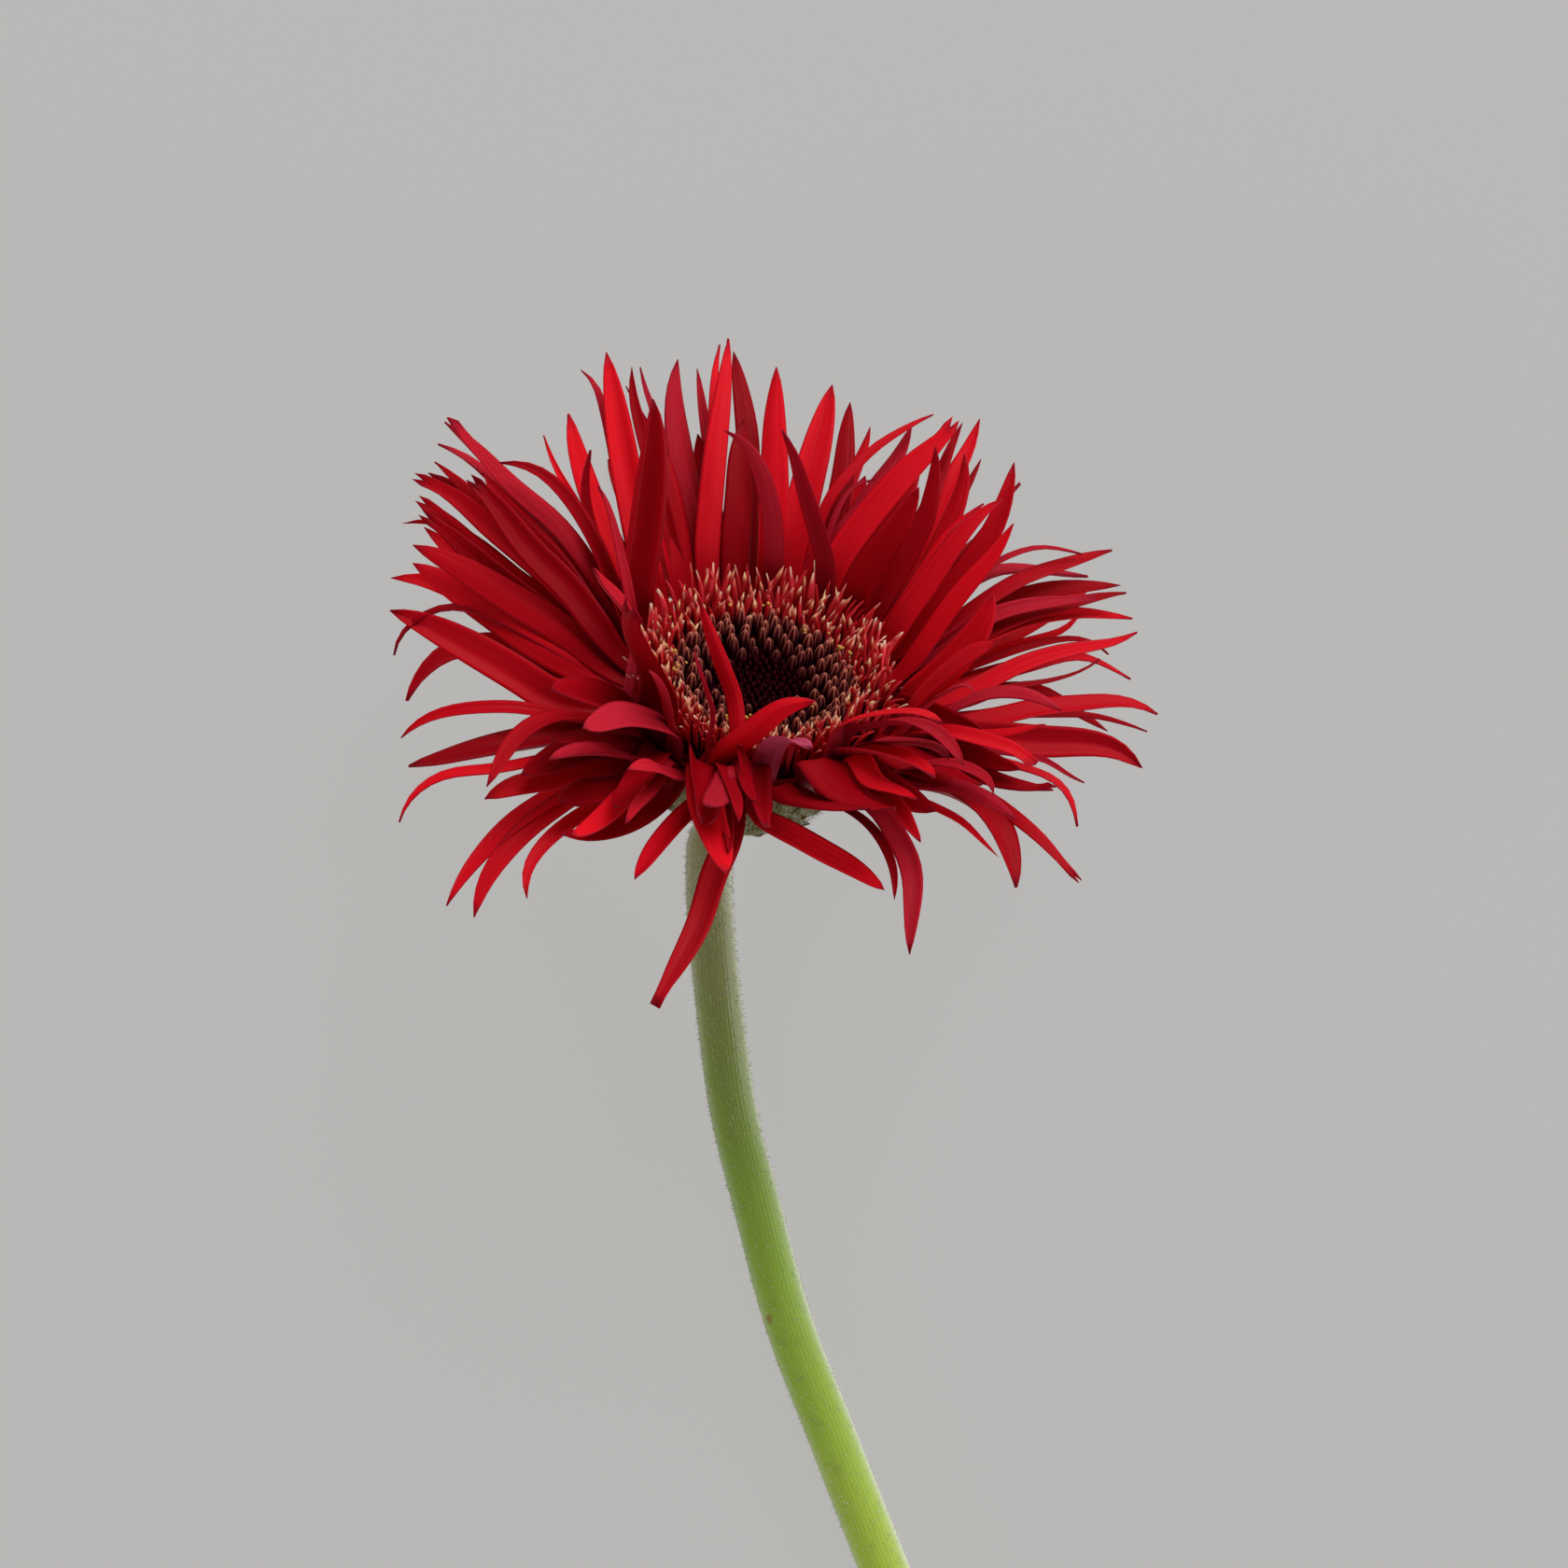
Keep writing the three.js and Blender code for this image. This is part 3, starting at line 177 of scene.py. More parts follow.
# Every petal that the photo shows: the tip's place and height, the width, the points that the
# middle line passes on its way from the tip to the root, and how it looks where that is unusual.
# All places are in plan from the middle of the face.
PETALS = [
    # behind the face, from its left round to its right
    dict(tip=(-44.5, 32, 40), width=2.2,
         path=[(-40.5, 29), (-35.5, 23.5), (-28.5, 17.5)], look="rose toothed"),
    dict(tip=(-45, 29.5, 36), width=1.8, arch=0.12,
         path=[(-41, 27.5), (-35.5, 22), (-27.5, 14.5)], look="rose"),
    dict(tip=(-36.5, 27, 42), width=2, arch=0.16, path=[(-32, 26), (-28, 22.5), (-24, 16.5)], look="dark"),
    dict(tip=(-45.5, 27, 33), width=2, path=[(-42.5, 24.5), (-38.5, 21), (-32, 15.5)]),
    dict(tip=(-48.5, 25, 37), width=2.8,
         path=[(-43, 22.5), (-38.5, 18.5), (-30, 11.5)], look="toothed turned"),
    dict(tip=(-46.5, 25.5, 32), width=3.1, arch=0.1,
         path=[(-41.5, 22.5), (-36.5, 18.5), (-29.5, 12)], look="dark turned"),
    dict(tip=(-48, 22, 33), width=2.8,
         path=[(-44.5, 19.5), (-39.5, 14.5), (-31.5, 8.5)], look="toothed turned"),
    dict(tip=(-47.5, 20, 39), width=2.8,
         path=[(-44, 17.5), (-39, 13), (-31.5, 7)], look="dark toothed turned"),
    dict(tip=(-50, 18.5, 30), width=1.3, path=[(-46, 19), (-41, 17), (-33.5, 11)], look="turned"),
    dict(tip=(-47, 18, 34), width=2.8, path=[(-43.5, 15), (-38.5, 10.5), (-31.5, 5)], look="turned"),
    dict(tip=(-48.5, 15.5, 42), width=3.6, path=[(-43, 13), (-35.5, 8.5), (-27.5, 3.5)], look="turned"),
    dict(tip=(-41, 25, 48), width=3.3,
         path=[(-37.5, 21.5), (-33, 15.5), (-27, 9.5)], look="dark toothed turned"),
    dict(tip=(-39, 25.5, 39), width=2.6, path=[(-35.5, 21), (-31, 16), (-25, 10)], look="turned"),
    dict(tip=(-31, 30.5, 38), width=1.2, path=[(-28.5, 25), (-25.5, 20), (-22.5, 13.5)], look="bright"),
    dict(tip=(-27.5, 33.5, 30), width=3.1, path=[(-26.5, 28), (-25, 22.5), (-22, 15.5)], look="bright"),
    dict(tip=(-24, 28.5, 37), width=1.5, path=[(-25, 25), (-25, 21.5), (-24, 17), (-22, 12)], look="dark"),
    dict(tip=(-22.5, 23.5, 44), width=1.5, path=[(-21.5, 20), (-20.5, 16), (-19.5, 11.5)], look="rose"),
    dict(tip=(-25.5, 39.5, 22), width=1.5, arch=0.13,
         path=[(-24, 39), (-22.5, 35), (-21, 29), (-19.5, 21)], look="rose"),
    dict(tip=(-22, 42, 26), width=3.6,
         path=[(-21, 36), (-20, 29), (-18.5, 20.5), (-17, 13.5)], look="bright"),
    dict(tip=(-19.5, 37, 19), width=0.9, path=[(-17.5, 34), (-15.5, 30.5), (-13.5, 25.5)], look="dark"),
    dict(tip=(-18.5, 40, 22), width=1.8,
         path=[(-18.5, 36.5), (-17.5, 32.5), (-16, 27), (-14, 20)], look="dark"),
    dict(tip=(-17.5, 40, 15), width=1.3,
         path=[(-17, 37.5), (-15.5, 34), (-14.5, 29.5), (-12.5, 22.5)], look="rose"),
    dict(tip=(-15.5, 35.5, 38), width=4.4,
         path=[(-16.5, 29), (-17.5, 22), (-18.5, 14.5), (-19.5, 8.5)], look="dark folded"),
    dict(tip=(-12.5, 41, 18), width=3.6, path=[(-12.5, 35), (-11.5, 27.5), (-9.5, 18.5)], look="rose"),
    dict(tip=(-9.5, 40, 12), width=1.5, path=[(-9, 35.5), (-8, 29), (-7, 21)], look="rose"),
    dict(tip=(-7, 43, 17), width=2, path=[(-7, 39), (-7, 32.5), (-7.5, 23.5)], look="bright"),
    dict(tip=(-5, 44, 24), width=3.3, path=[(-5.5, 38), (-6.5, 30), (-7.5, 21), (-8, 14)], look="bright"),
    dict(tip=(-4.5, 42.5, 13), width=2.8, path=[(-3.5, 37), (-2.5, 30.5), (-2.5, 22.5)], look="dark"),
    dict(tip=(-5.5, 31.5, 36), width=2.3, path=[(-3, 29.5), (-1, 26), (0.5, 20.5), (1, 13.5)], look="rose"),
    dict(tip=(1.5, 40, 24), width=3.3, path=[(1, 34), (1, 25.5), (1, 16)], look="bright"),
    dict(tip=(2.5, 31.5, 35), width=2.6, path=[(4, 28), (5.5, 23.5), (7, 18.5), (8.5, 12)], look="rose"),
    dict(tip=(9, 37.5, 17), width=3.8, path=[(8, 33.5), (6.5, 28), (5, 22.5)], look="bright"),
    dict(tip=(11.5, 35.5, 13), width=2.8, path=[(11, 31), (10.5, 25), (9, 18.5)], look="dark"),
    dict(tip=(14.5, 31.5, 12), width=2, path=[(13, 28), (11, 23.5), (9, 18.5)]),
    dict(tip=(23, 34, 16), width=1.2, arch=0.12, path=[(19, 31.5), (15, 29), (11.5, 25.5), (8.5, 22)]),
    dict(tip=(20, 32, 15), width=2.8, path=[(18, 28), (15.5, 24.5), (13, 20.5), (10, 16.5)], look="rose"),
    dict(tip=(26, 33, 24), width=3.3,
         path=[(24.5, 30.5), (20.5, 27), (16.5, 22.5), (12.5, 17.5), (9.5, 13)], look="bright toothed"),
    dict(tip=(27, 32.5, 19), width=1.8, path=[(25.5, 29.5), (24, 25.5), (22, 20.5)], look="dark"),
    dict(tip=(29.5, 32.5, 16), width=2.6,
         path=[(28, 29), (25.5, 24.5), (23, 20), (20.5, 14.5)], look="bright"),
    dict(tip=(29.5, 27.5, 13), width=1.5, path=[(28.5, 25.5), (26.5, 22), (24.5, 17.5)], look="dark"),
    dict(tip=(23.5, 29, 28), width=2.6, path=[(23, 24.5), (21.5, 18.5), (18.5, 13), (16, 8.5)], look="dark"),
    dict(tip=(27.5, 28, 25), width=2.8, path=[(27, 24), (25, 18.5), (22.5, 12.5), (19.5, 7)]),
    dict(tip=(21, 23.5, 38), width=3.1, path=[(18.5, 18.5), (15, 13.5), (12.5, 9.5)]),
    dict(tip=(34, 27, 28), width=2.8, path=[(33, 22), (31, 17), (27.5, 12), (23.5, 7)]),
    dict(tip=(35, 24, 20), width=0.9, path=[(33.5, 22.5), (31.5, 20), (28.5, 16)], look="dark"),
    dict(tip=(32, 22, 36), width=3.3, path=[(29.5, 19.5), (26.5, 16), (23.5, 11.5), (20, 7)], look="bright"),
    dict(tip=(30, 21, 29), width=0.9, path=[(27.5, 19.5), (25.5, 18), (23.5, 15.5)], look="bright"),
    dict(tip=(33.5, 18.5, 40), width=2.6,
         path=[(31.5, 15), (28, 11), (24.5, 6.5), (21, 1.5)], look="bright"),
    dict(tip=(15, 24.5, 20), width=0.8, arch=0.1, path=[(12, 24), (10.5, 22), (9, 18.5)], look="rose"),
    dict(tip=(-15, 30, 22), width=3.8, arch=0.07, path=[(-14.5, 25), (-14, 20), (-13, 14.5)]),
    dict(tip=(-9, 30.5, 17), width=3.8, arch=0.07, path=[(-9, 25), (-9.5, 20), (-9.5, 15.5)], look="dark"),
    dict(tip=(-3, 33, 18), width=3.6, arch=0.07, path=[(-3.5, 29), (-3.5, 22.5), (-4, 16)], look="dark"),
    dict(tip=(21, 28, 22), width=3.8, arch=0.07, path=[(19, 23), (15.5, 18), (12, 12.5)]),
    # right of the face
    dict(tip=(43.5, 14.5, 22), width=0.9, arch=0.13,
         path=[(41, 15), (37.5, 15.5), (34, 14.5), (30, 12.5)], look="rose"),
    dict(tip=(47.5, 14.5, 19), width=2, arch=0.12, path=[(44.5, 14), (40, 12.5), (35.5, 11), (30.5, 8)]),
    dict(tip=(48.5, 10, 17), width=2.3, arch=0.1,
         path=[(44, 10), (38.5, 9.5), (33.5, 8), (28.5, 6)], look="dark"),
    dict(tip=(49.5, 9, 21), width=2, path=[(46.5, 9), (42, 8), (37, 7), (32, 5)], look="dark"),
    dict(tip=(45, 8, 25), width=2, path=[(42, 8), (38, 7.5), (33, 6.5), (28.5, 4.5)], look="rose blunt"),
    dict(tip=(50, 5, 18), width=2.3, arch=0.1,
         path=[(48, 5.5), (43.5, 6), (39, 5.5), (34.5, 4.5), (30, 2.5)], look="bright"),
    dict(tip=(51, 3.5, 24), width=2.3,
         path=[(48.5, 2.5), (44, 2), (39, 1), (33.5, -1), (28, -4)], look="bright"),
    dict(tip=(47, 0.5, 20), width=1, path=[(46.5, 1.5), (45.5, 2.5), (42, 3), (37, 2)], look="dark"),
    dict(tip=(50, -3, 17), width=2.3, path=[(47.5, -1), (45, 0.5), (41.5, 1), (36.5, -0.5)]),
    dict(tip=(46, -1, 27), width=1.8, path=[(42, -2), (38, -3), (33, -3.5), (28.5, -5.5)], look="dark"),
    dict(tip=(31, 8.5, 57), width=3.6, arch=0.1,
         path=[(30, 5.5), (27, 1), (23, -3), (18.5, -6.5)], look="bright red turned"),
    dict(tip=(31.5, 2, 60), width=2, path=[(28.5, 1), (24.5, -1.5), (20.5, -5)]),
    dict(tip=(43.5, 6.5, 16), width=1.3, path=[(42.5, 5), (40.5, 3.5), (37, 2.5)], look="bright"),
    dict(tip=(53.5, -8, 28), width=2.3, path=[(51.5, -6.5), (47.5, -6), (43, -6.5), (37, -7), (31, -8.5)]),
    dict(tip=(52.5, -10, 22), width=0.9, path=[(48.5, -8.5), (44.5, -7.5), (39.5, -7.5)], look="dark"),
    dict(tip=(47, -10, 19), width=1.8, path=[(45, -8.5), (42.5, -7), (39.5, -5), (36.5, -4)], look="dark"),
    dict(tip=(51.5, -15, 32), width=3.8,
         path=[(48.5, -12.5), (43.5, -11.5), (38, -11.5), (32.5, -11)], look="channelled turned"),
    dict(tip=(40.5, -7, 50), width=1.5, arch=0.16,
         path=[(38, -5.5), (35, -4.5), (31, -4.5), (28, -5.5)], look="rose"),
    dict(tip=(28.5, -5, 63), width=0.6, arch=0.16,
         path=[(28.5, -4), (27, -3.5), (25, -4.5), (22.5, -6)], look="rose"),
    dict(tip=(38, -9, 55), width=1.5, arch=0.14,
         path=[(34, -10), (29.5, -10.5), (24.5, -10.5)], look="bright"),
    dict(tip=(36.5, -15, 59), width=2.3, arch=0.16,
         path=[(34.5, -13), (31, -12), (27, -11), (21.5, -10.5)], look="bright blunt"),
    dict(tip=(43, -23, 52), width=1.7, arch=0.18,
         path=[(42.5, -20), (41, -17.5), (39, -16), (35.5, -15), (30.5, -13.5)]),
    dict(tip=(43.5, -17.5, 46), width=0.9,
         path=[(41, -16), (38.5, -14), (35.5, -13.5), (30.5, -12.5)], look="rose"),
    dict(tip=(39.5, -18.5, 54), width=2.3, arch=0.12,
         path=[(36, -17.5), (33, -17), (28.5, -15.5), (23.5, -14.5)], look="dark toothed"),
    dict(tip=(44, 10.5, 17), width=1.3, arch=0.1, path=[(41, 11.5), (36.5, 12), (30.5, 11.5)], look="rose"),
    dict(tip=(29.5, -18, 58), width=3.3, arch=0.12,
         path=[(24, -15.5), (18.5, -13), (13.5, -10)], look="dark"),
    dict(tip=(35, -15.5, 52), width=3.1, arch=0.12,
         path=[(28.5, -13.5), (21.5, -11.5), (16, -8.5)], look="dark"),
    dict(tip=(31, -11, 48), width=2.8, arch=0.12, path=[(26, -9), (21.5, -7.5), (17, -6.5)], look="dark"),
    # in front of the face, right of the stalk
    dict(tip=(31, -18.5, 67), width=1.3, arch=0.22,
         path=[(31, -17), (29.5, -16), (27.5, -15), (24, -14.5)], look="rose"),
    dict(tip=(34, -22, 66), width=1.8, arch=0.2,
         path=[(32.5, -20.5), (30, -19), (26.5, -17.5), (22.5, -17)], look="rose"),
    dict(tip=(43, -30.5, 60), width=1.8, arch=0.2,
         path=[(40.5, -28), (38, -25), (34.5, -22), (30.5, -19), (25.5, -17)], look="toothed"),
    dict(tip=(34, -31.5, 60), width=3.1, arch=0.22,
         path=[(33, -27), (31.5, -23.5), (29.5, -21), (25, -18.5)], look="dark red"),
    dict(tip=(31.5, -27, 64), width=1, arch=0.18, path=[(29, -24.5), (27, -22.5), (24, -21), (19.5, -19)]),
    dict(tip=(24, -8.5, 75), width=2, arch=0.2,
         path=[(21, -7), (16.5, -7), (12, -8), (8, -10)], look="bright"),
    dict(tip=(27, -15, 73), width=1.7, arch=0.25,
         path=[(25.5, -12.5), (23.5, -10.5), (19.5, -9), (14, -9.5), (9, -11)], look="rose"),
    dict(tip=(23, -16.5, 74), width=2.3, arch=0.25,
         path=[(21, -15), (18.5, -14), (14.5, -13), (10, -13.5)], look="bright"),
    dict(tip=(20.5, -19, 73), width=2.3, arch=0.2,
         path=[(18, -18), (14.5, -16.5), (12, -12.5)], look="bright"),
    dict(tip=(17.5, -21, 72), width=4.4, arch=0.2, path=[(14, -19.5), (10.5, -17), (7.5, -13)], look="dark"),
    dict(tip=(13.5, -20.5, 73), width=4.4, arch=0.16,
         path=[(9.5, -19.5), (5, -18.5), (2, -16.5)], look="dark"),
    dict(tip=(21, -25.5, 71), width=1.8, arch=0.24, path=[(19, -22.5), (17, -20), (13.5, -18), (10, -16.5)]),
    dict(tip=(19.5, -40.5, 62), width=2.7, arch=0.26,
         path=[(20, -35), (20, -29.5), (18, -25), (15, -21)], look="rose"),
    dict(tip=(17.5, -33.5, 66), width=1.3, arch=0.2,
         path=[(17.5, -29.5), (16, -25.5), (13.5, -22.5)], look="dark"),
    dict(tip=(16.5, -32, 66), width=2.6, arch=0.03,
         path=[(12.5, -29), (8, -26.5), (3.5, -24), (0.5, -22.5), (-2, -21)], look="bright flat turned"),
    dict(tip=(25, -13.5, 70), width=1.8, arch=0.18,
         path=[(22.5, -12), (18.5, -11.5), (13.5, -12)], look="rose"),
    dict(tip=(23, -21, 64), width=3.3, arch=0.12,
         path=[(18, -18.5), (13.5, -15.5), (10.5, -11.5)], look="dark"),
    # left of the face
    dict(tip=(-51.5, 6.5, 36), width=4.1, arch=0.1,
         path=[(-47.5, 5), (-41.5, 2), (-34.5, -2), (-27, -6.5)], look="turned"),
    dict(tip=(-48.5, 13, 38), width=4.1, path=[(-45, 11), (-38.5, 7), (-30.5, 1.5)], look="bright turned"),
    dict(tip=(-51.5, 11, 31), width=2.6, path=[(-48, 11), (-44.5, 10), (-38.5, 7.5)], look="bright turned"),
    dict(tip=(-45.5, 13.5, 35), width=2.6, path=[(-43, 12), (-38.5, 9), (-32, 4.5)], look="dark turned"),
    dict(tip=(-51.5, 0.5, 36), width=0.8, arch=0.16,
         path=[(-51.5, 2), (-50, 3.5), (-47, 6), (-42, 7)], look="dark"),
    dict(tip=(-49, -6, 31), width=3.3, path=[(-48, -3.5), (-46, -1), (-43, 1), (-37, 1.5), (-30, -1.5)]),
    dict(tip=(-50, -11, 39), width=1.8, arch=0.2,
         path=[(-48, -9), (-44, -7.5), (-39.5, -7), (-34, -7), (-28.5, -8)]),
    dict(tip=(-49, -15, 42), width=3.6, arch=0.14,
         path=[(-45, -14.5), (-39.5, -13.5), (-33.5, -12.5), (-27, -11.5)], look="dark"),
    dict(tip=(-50.5, -22.5, 44), width=1.5, arch=0.22,
         path=[(-49.5, -19.5), (-47, -17), (-44, -15.5), (-37, -15), (-29.5, -13.5)], look="bright"),
    dict(tip=(-38, -18, 64), width=1.7, arch=0.22,
         path=[(-36.5, -14.5), (-35, -12), (-31.5, -9), (-27.5, -8), (-23, -9)]),
    dict(tip=(-38.5, -19.5, 59), width=3.1, arch=0.14,
         path=[(-35, -17.5), (-31, -16.5), (-26, -15), (-21, -14)]),
    # in front of the face, left of the stalk
    dict(tip=(-43.5, -34, 52), width=2.8, arch=0.19,
         path=[(-42.5, -31), (-39.5, -27), (-35, -22.5), (-29.5, -19), (-23, -15.5)], look="bright"),
    dict(tip=(-40, -35.5, 54), width=2.8, arch=0.16,
         path=[(-39, -32), (-37, -28.5), (-33, -24), (-27.5, -20), (-22, -16.5)], look="bright"),
    dict(tip=(-32.5, -33, 62), width=1.8, arch=0.2,
         path=[(-33, -30), (-31.5, -27), (-28.5, -24), (-23, -20.5)], look="bright"),
    dict(tip=(-28.5, -24.5, 66), width=2.8, arch=-0.06,
         path=[(-23, -24), (-17, -21.5), (-12.5, -17), (-11.5, -13)], look="dark"),
    dict(tip=(-27, -24.5, 73), width=2.6, arch=0.18,
         path=[(-24, -23), (-21, -20.5), (-19, -18.5), (-16, -16.5)], look="bright"),
    dict(tip=(-19, -22.5, 73), width=1.8, arch=0.16,
         path=[(-18, -20.5), (-15.5, -17.5), (-13, -13.5)], look="rose"),
    dict(tip=(-18, -30.5, 69), width=2.3, arch=-0.02, path=[(-15.5, -26.5), (-12.5, -23), (-9.5, -20)]),
    dict(tip=(-15.5, -47.5, 60), width=3.2, arch=0.16,
         path=[(-13, -43), (-9.5, -36.5), (-7.5, -30), (-5, -24.5)], look="blunt"),
    dict(tip=(-5.5, -29, 77), width=4.9, arch=0.26,
         path=[(-6.5, -24.5), (-8, -19.5), (-8, -14.5)], look="bright"),
    dict(tip=(-5, -26.5, 73), width=1.8, arch=0.14, path=[(-5.5, -22.5), (-6, -17.5)], look="dark"),
    dict(tip=(-3.5, -22, 79), width=1.5, arch=0.2, path=[(-4.5, -18.5), (-6, -14.5)], look="dark"),
    dict(tip=(-29.5, -13.5, 71), width=1.8, arch=0.2,
         path=[(-25, -13), (-19, -13.5), (-13.5, -15.5)], look="rose"),
    dict(tip=(-25.5, -10, 76), width=2.3, arch=0.24,
         path=[(-23, -9), (-20.5, -8), (-16.5, -8.5), (-12.5, -10.5)], look="rose"),
    dict(tip=(-29.5, -4.5, 69), width=4.1, arch=0.18,
         path=[(-25.5, -6), (-21, -7.5), (-17, -10)], look="dark"),
    dict(tip=(-18.5, -15, 76), width=1.5, arch=0.16, path=[(-15.5, -15), (-13, -16)], look="rose"),
    dict(tip=(-29.5, -11.5, 64), width=3.3, arch=0.18,
         path=[(-25, -10.5), (-20, -10.5), (-15, -12)], look="dark"),
    dict(tip=(-1.5, -20, 74), width=1.8, arch=0.16, path=[(-2.5, -17.5), (-3, -14)], look="dark"),
    dict(tip=(-8, -21, 77), width=3.3, arch=0.16, path=[(-6, -18), (-4, -14.5)], look="rose"),
    dict(tip=(-0.5, -23, 70), width=4.6, arch=0.12, path=[(-2, -18.5), (-2.5, -14)], look="dark blunt"),
    dict(tip=(-21, -21, 69), width=3.3, arch=0.14, path=[(-17, -16), (-14.5, -12.5)], look="dark"),
    dict(tip=(-33.5, -16.5, 60), width=3.1, arch=0.12,
         path=[(-27, -14), (-20.5, -13), (-15, -13.5)], look="dark"),
    dict(tip=(-28.5, -20, 64), width=3.3, arch=0.12,
         path=[(-23, -17.5), (-18, -16.5), (-13.5, -16)], look="dark"),
    dict(tip=(-9, -23, 71), width=3.8, arch=0.12, path=[(-9, -18.5), (-9, -14)], look="dark"),
    # standing up in front of the florets
    dict(tip=(-9, 7.5, 70), width=1.9, arch=0.02,
         path=[(-7.5, 3), (-6, -1), (-4.5, -5), (-3, -9)], look="red"),
    dict(tip=(-10, 0.5, 68), width=0.6, arch=0.04, path=[(-9, -2), (-8, -5), (-7, -8)], look="dark"),
    dict(tip=(6.5, -6, 70), width=2.8, arch=-0.2,
         path=[(3, -6.5), (0, -8.5), (-3, -11), (-6.5, -13.5), (-9, -15.5)],
         look="bright red channelled turned"),
    dict(tip=(-19.5, 7, 68), width=4.6, arch=0.05,
         path=[(-19, 3), (-17, -1.5), (-15, -7)], look="dark red toothed"),
    dict(tip=(-24, 12, 62), width=2, arch=0.06, path=[(-22, 9.5), (-19.5, 6.5), (-18, 2)], look="rose"),
    dict(tip=(6, -13, 75), width=2.6, arch=0.1,
         path=[(4.5, -11.5), (2, -11.5), (0.5, -13), (-0.5, -16.5)], look="mauve"),
    dict(tip=(-16, -1.5, 68), width=1.3, path=[(-14.5, -4), (-13.5, -7.5)], look="rose"),
]


def head_frame():
    """The head's own frame: x to its right, y over the back of the face, z along its axis."""
    tilt = math.radians(FACE_TILT)
    lean = math.radians(FACE_LEAN)
    axis = Vector((math.sin(tilt) * math.sin(lean), math.sin(tilt) * math.cos(lean), math.cos(tilt)))
    back = Vector((math.cos(tilt) * math.sin(lean), math.cos(tilt) * math.cos(lean), -math.sin(tilt)))
    right = back.cross(axis)
    turned = Matrix((right, back, axis)).transposed().to_4x4()
    return Matrix.Translation(FACE_CENTRE) @ turned


HEAD = head_frame()
HEAD_INVERSE = HEAD.inverted()


def head_point(azimuth, radius, height):
    angle = math.radians(azimuth)
    return Vector((radius * math.cos(angle), radius * math.sin(angle), height))


def directions(azimuth):
    """The directions outward from the head's axis and round it, at this azimuth."""
    return head_point(azimuth, 1, 0), head_point(azimuth + 90, 1, 0)


def lerp(a, b, t):
    return a + (b - a) * t


def clamp(value, low=0.0, high=1.0):
    return min(max(value, low), high)


def ease(t):
    """0 to 1 with a soft start and a soft stop."""
    t = clamp(t)
    return t * t * (3 - 2 * t)


def seeded_draw(seed):
    """The seeded draw that the solids use, so that each petal turns the same way in both."""
    state = seed

    def draw():
        nonlocal state
        state = (state + 0x6D2B79F5) & 0xFFFFFFFF
        t = ((state ^ (state >> 15)) * (1 | state)) & 0xFFFFFFFF
        t = ((t + (((t ^ (t >> 7)) * (61 | t)) & 0xFFFFFFFF)) ^ t) & 0xFFFFFFFF
        return ((t ^ (t >> 14)) & 0xFFFFFFFF) / 4294967296

    return draw


# Building blocks of the meshes

ATTRIBUTES = ("across", "along", "under", "tone", "mauve")


def add_layers(bm):
    """Gives bm the attributes that the materials read, and returns them by name."""
    return {name: bm.verts.layers.float.new(name) for name in ATTRIBUTES}


def verts_of(parts):
    return [part for part in parts if isinstance(part, bmesh.types.BMVert)]


def as_template(bm, name):
    mesh = bpy.data.meshes.new(name)
    bm.to_mesh(mesh)
    bm.free()
    return mesh


def strip_template(across, along):
    """A closed flat strip to be bent: x from -1 to 1, y from 0 to 1, z 1 on top and 0 below."""
    bm = bmesh.new()
    bmesh.ops.create_grid(bm, x_segments=across, y_segments=along, size=1)
    bmesh.ops.translate(bm, vec=(0, 1, 0), verts=bm.verts)
    bmesh.ops.scale(bm, vec=(1, 0.5, 1), verts=bm.verts)
    grown = bmesh.ops.extrude_face_region(bm, geom=bm.faces[:], use_keep_orig=True)
    bmesh.ops.translate(bm, vec=(0, 0, 1), verts=verts_of(grown["geom"]))
    bmesh.ops.recalc_face_normals(bm, faces=bm.faces)
    layers = add_layers(bm)
    for vert in bm.verts:
        vert[layers["across"]] = vert.co.x
        vert[layers["along"]] = vert.co.y
        vert[layers["under"]] = 1 - vert.co.z
    return as_template(bm, "strip")


def spike_template(sides, rings):
    """A closed upright cone to be shaped: radius 1 all the way up, z from 0 to 1, a point on top."""
    bm = bmesh.new()
    bmesh.ops.create_circle(bm, cap_ends=True, segments=sides, radius=1)
    rim = bm.edges[:]
    for ring in range(rings):
        grown = bmesh.ops.extrude_edge_only(bm, edges=rim)["geom"]
        raised = verts_of(grown)
        bmesh.ops.translate(bm, vec=(0, 0, 1 / (rings + 1)), verts=raised)
        rim = [part for part in grown if isinstance(part, bmesh.types.BMEdge)
               and all(vert in raised for vert in part.verts)]
    top = bmesh.ops.create_vert(bm, co=(0, 0, 1))["vert"][0]
    for edge in rim:
        bm.faces.new((*edge.verts, top))
    bmesh.ops.recalc_face_normals(bm, faces=bm.faces)
    layers = add_layers(bm)
    for vert in bm.verts:
        vert[layers["across"]] = math.cos(BUD_RIBS * math.atan2(vert.co.y, vert.co.x))
        vert[layers["along"]] = vert.co.z
    return as_template(bm, "spike")


def add_copy(bm, template, tone):
    """Adds a copy of a template to bm and returns its vertices."""
    start = len(bm.verts)
    bm.from_mesh(template)
    bm.verts.ensure_lookup_table()
    added = bm.verts[start:]
    layer = bm.verts.layers.float["tone"]
    for vert in added:
        vert[layer] = tone
    return added


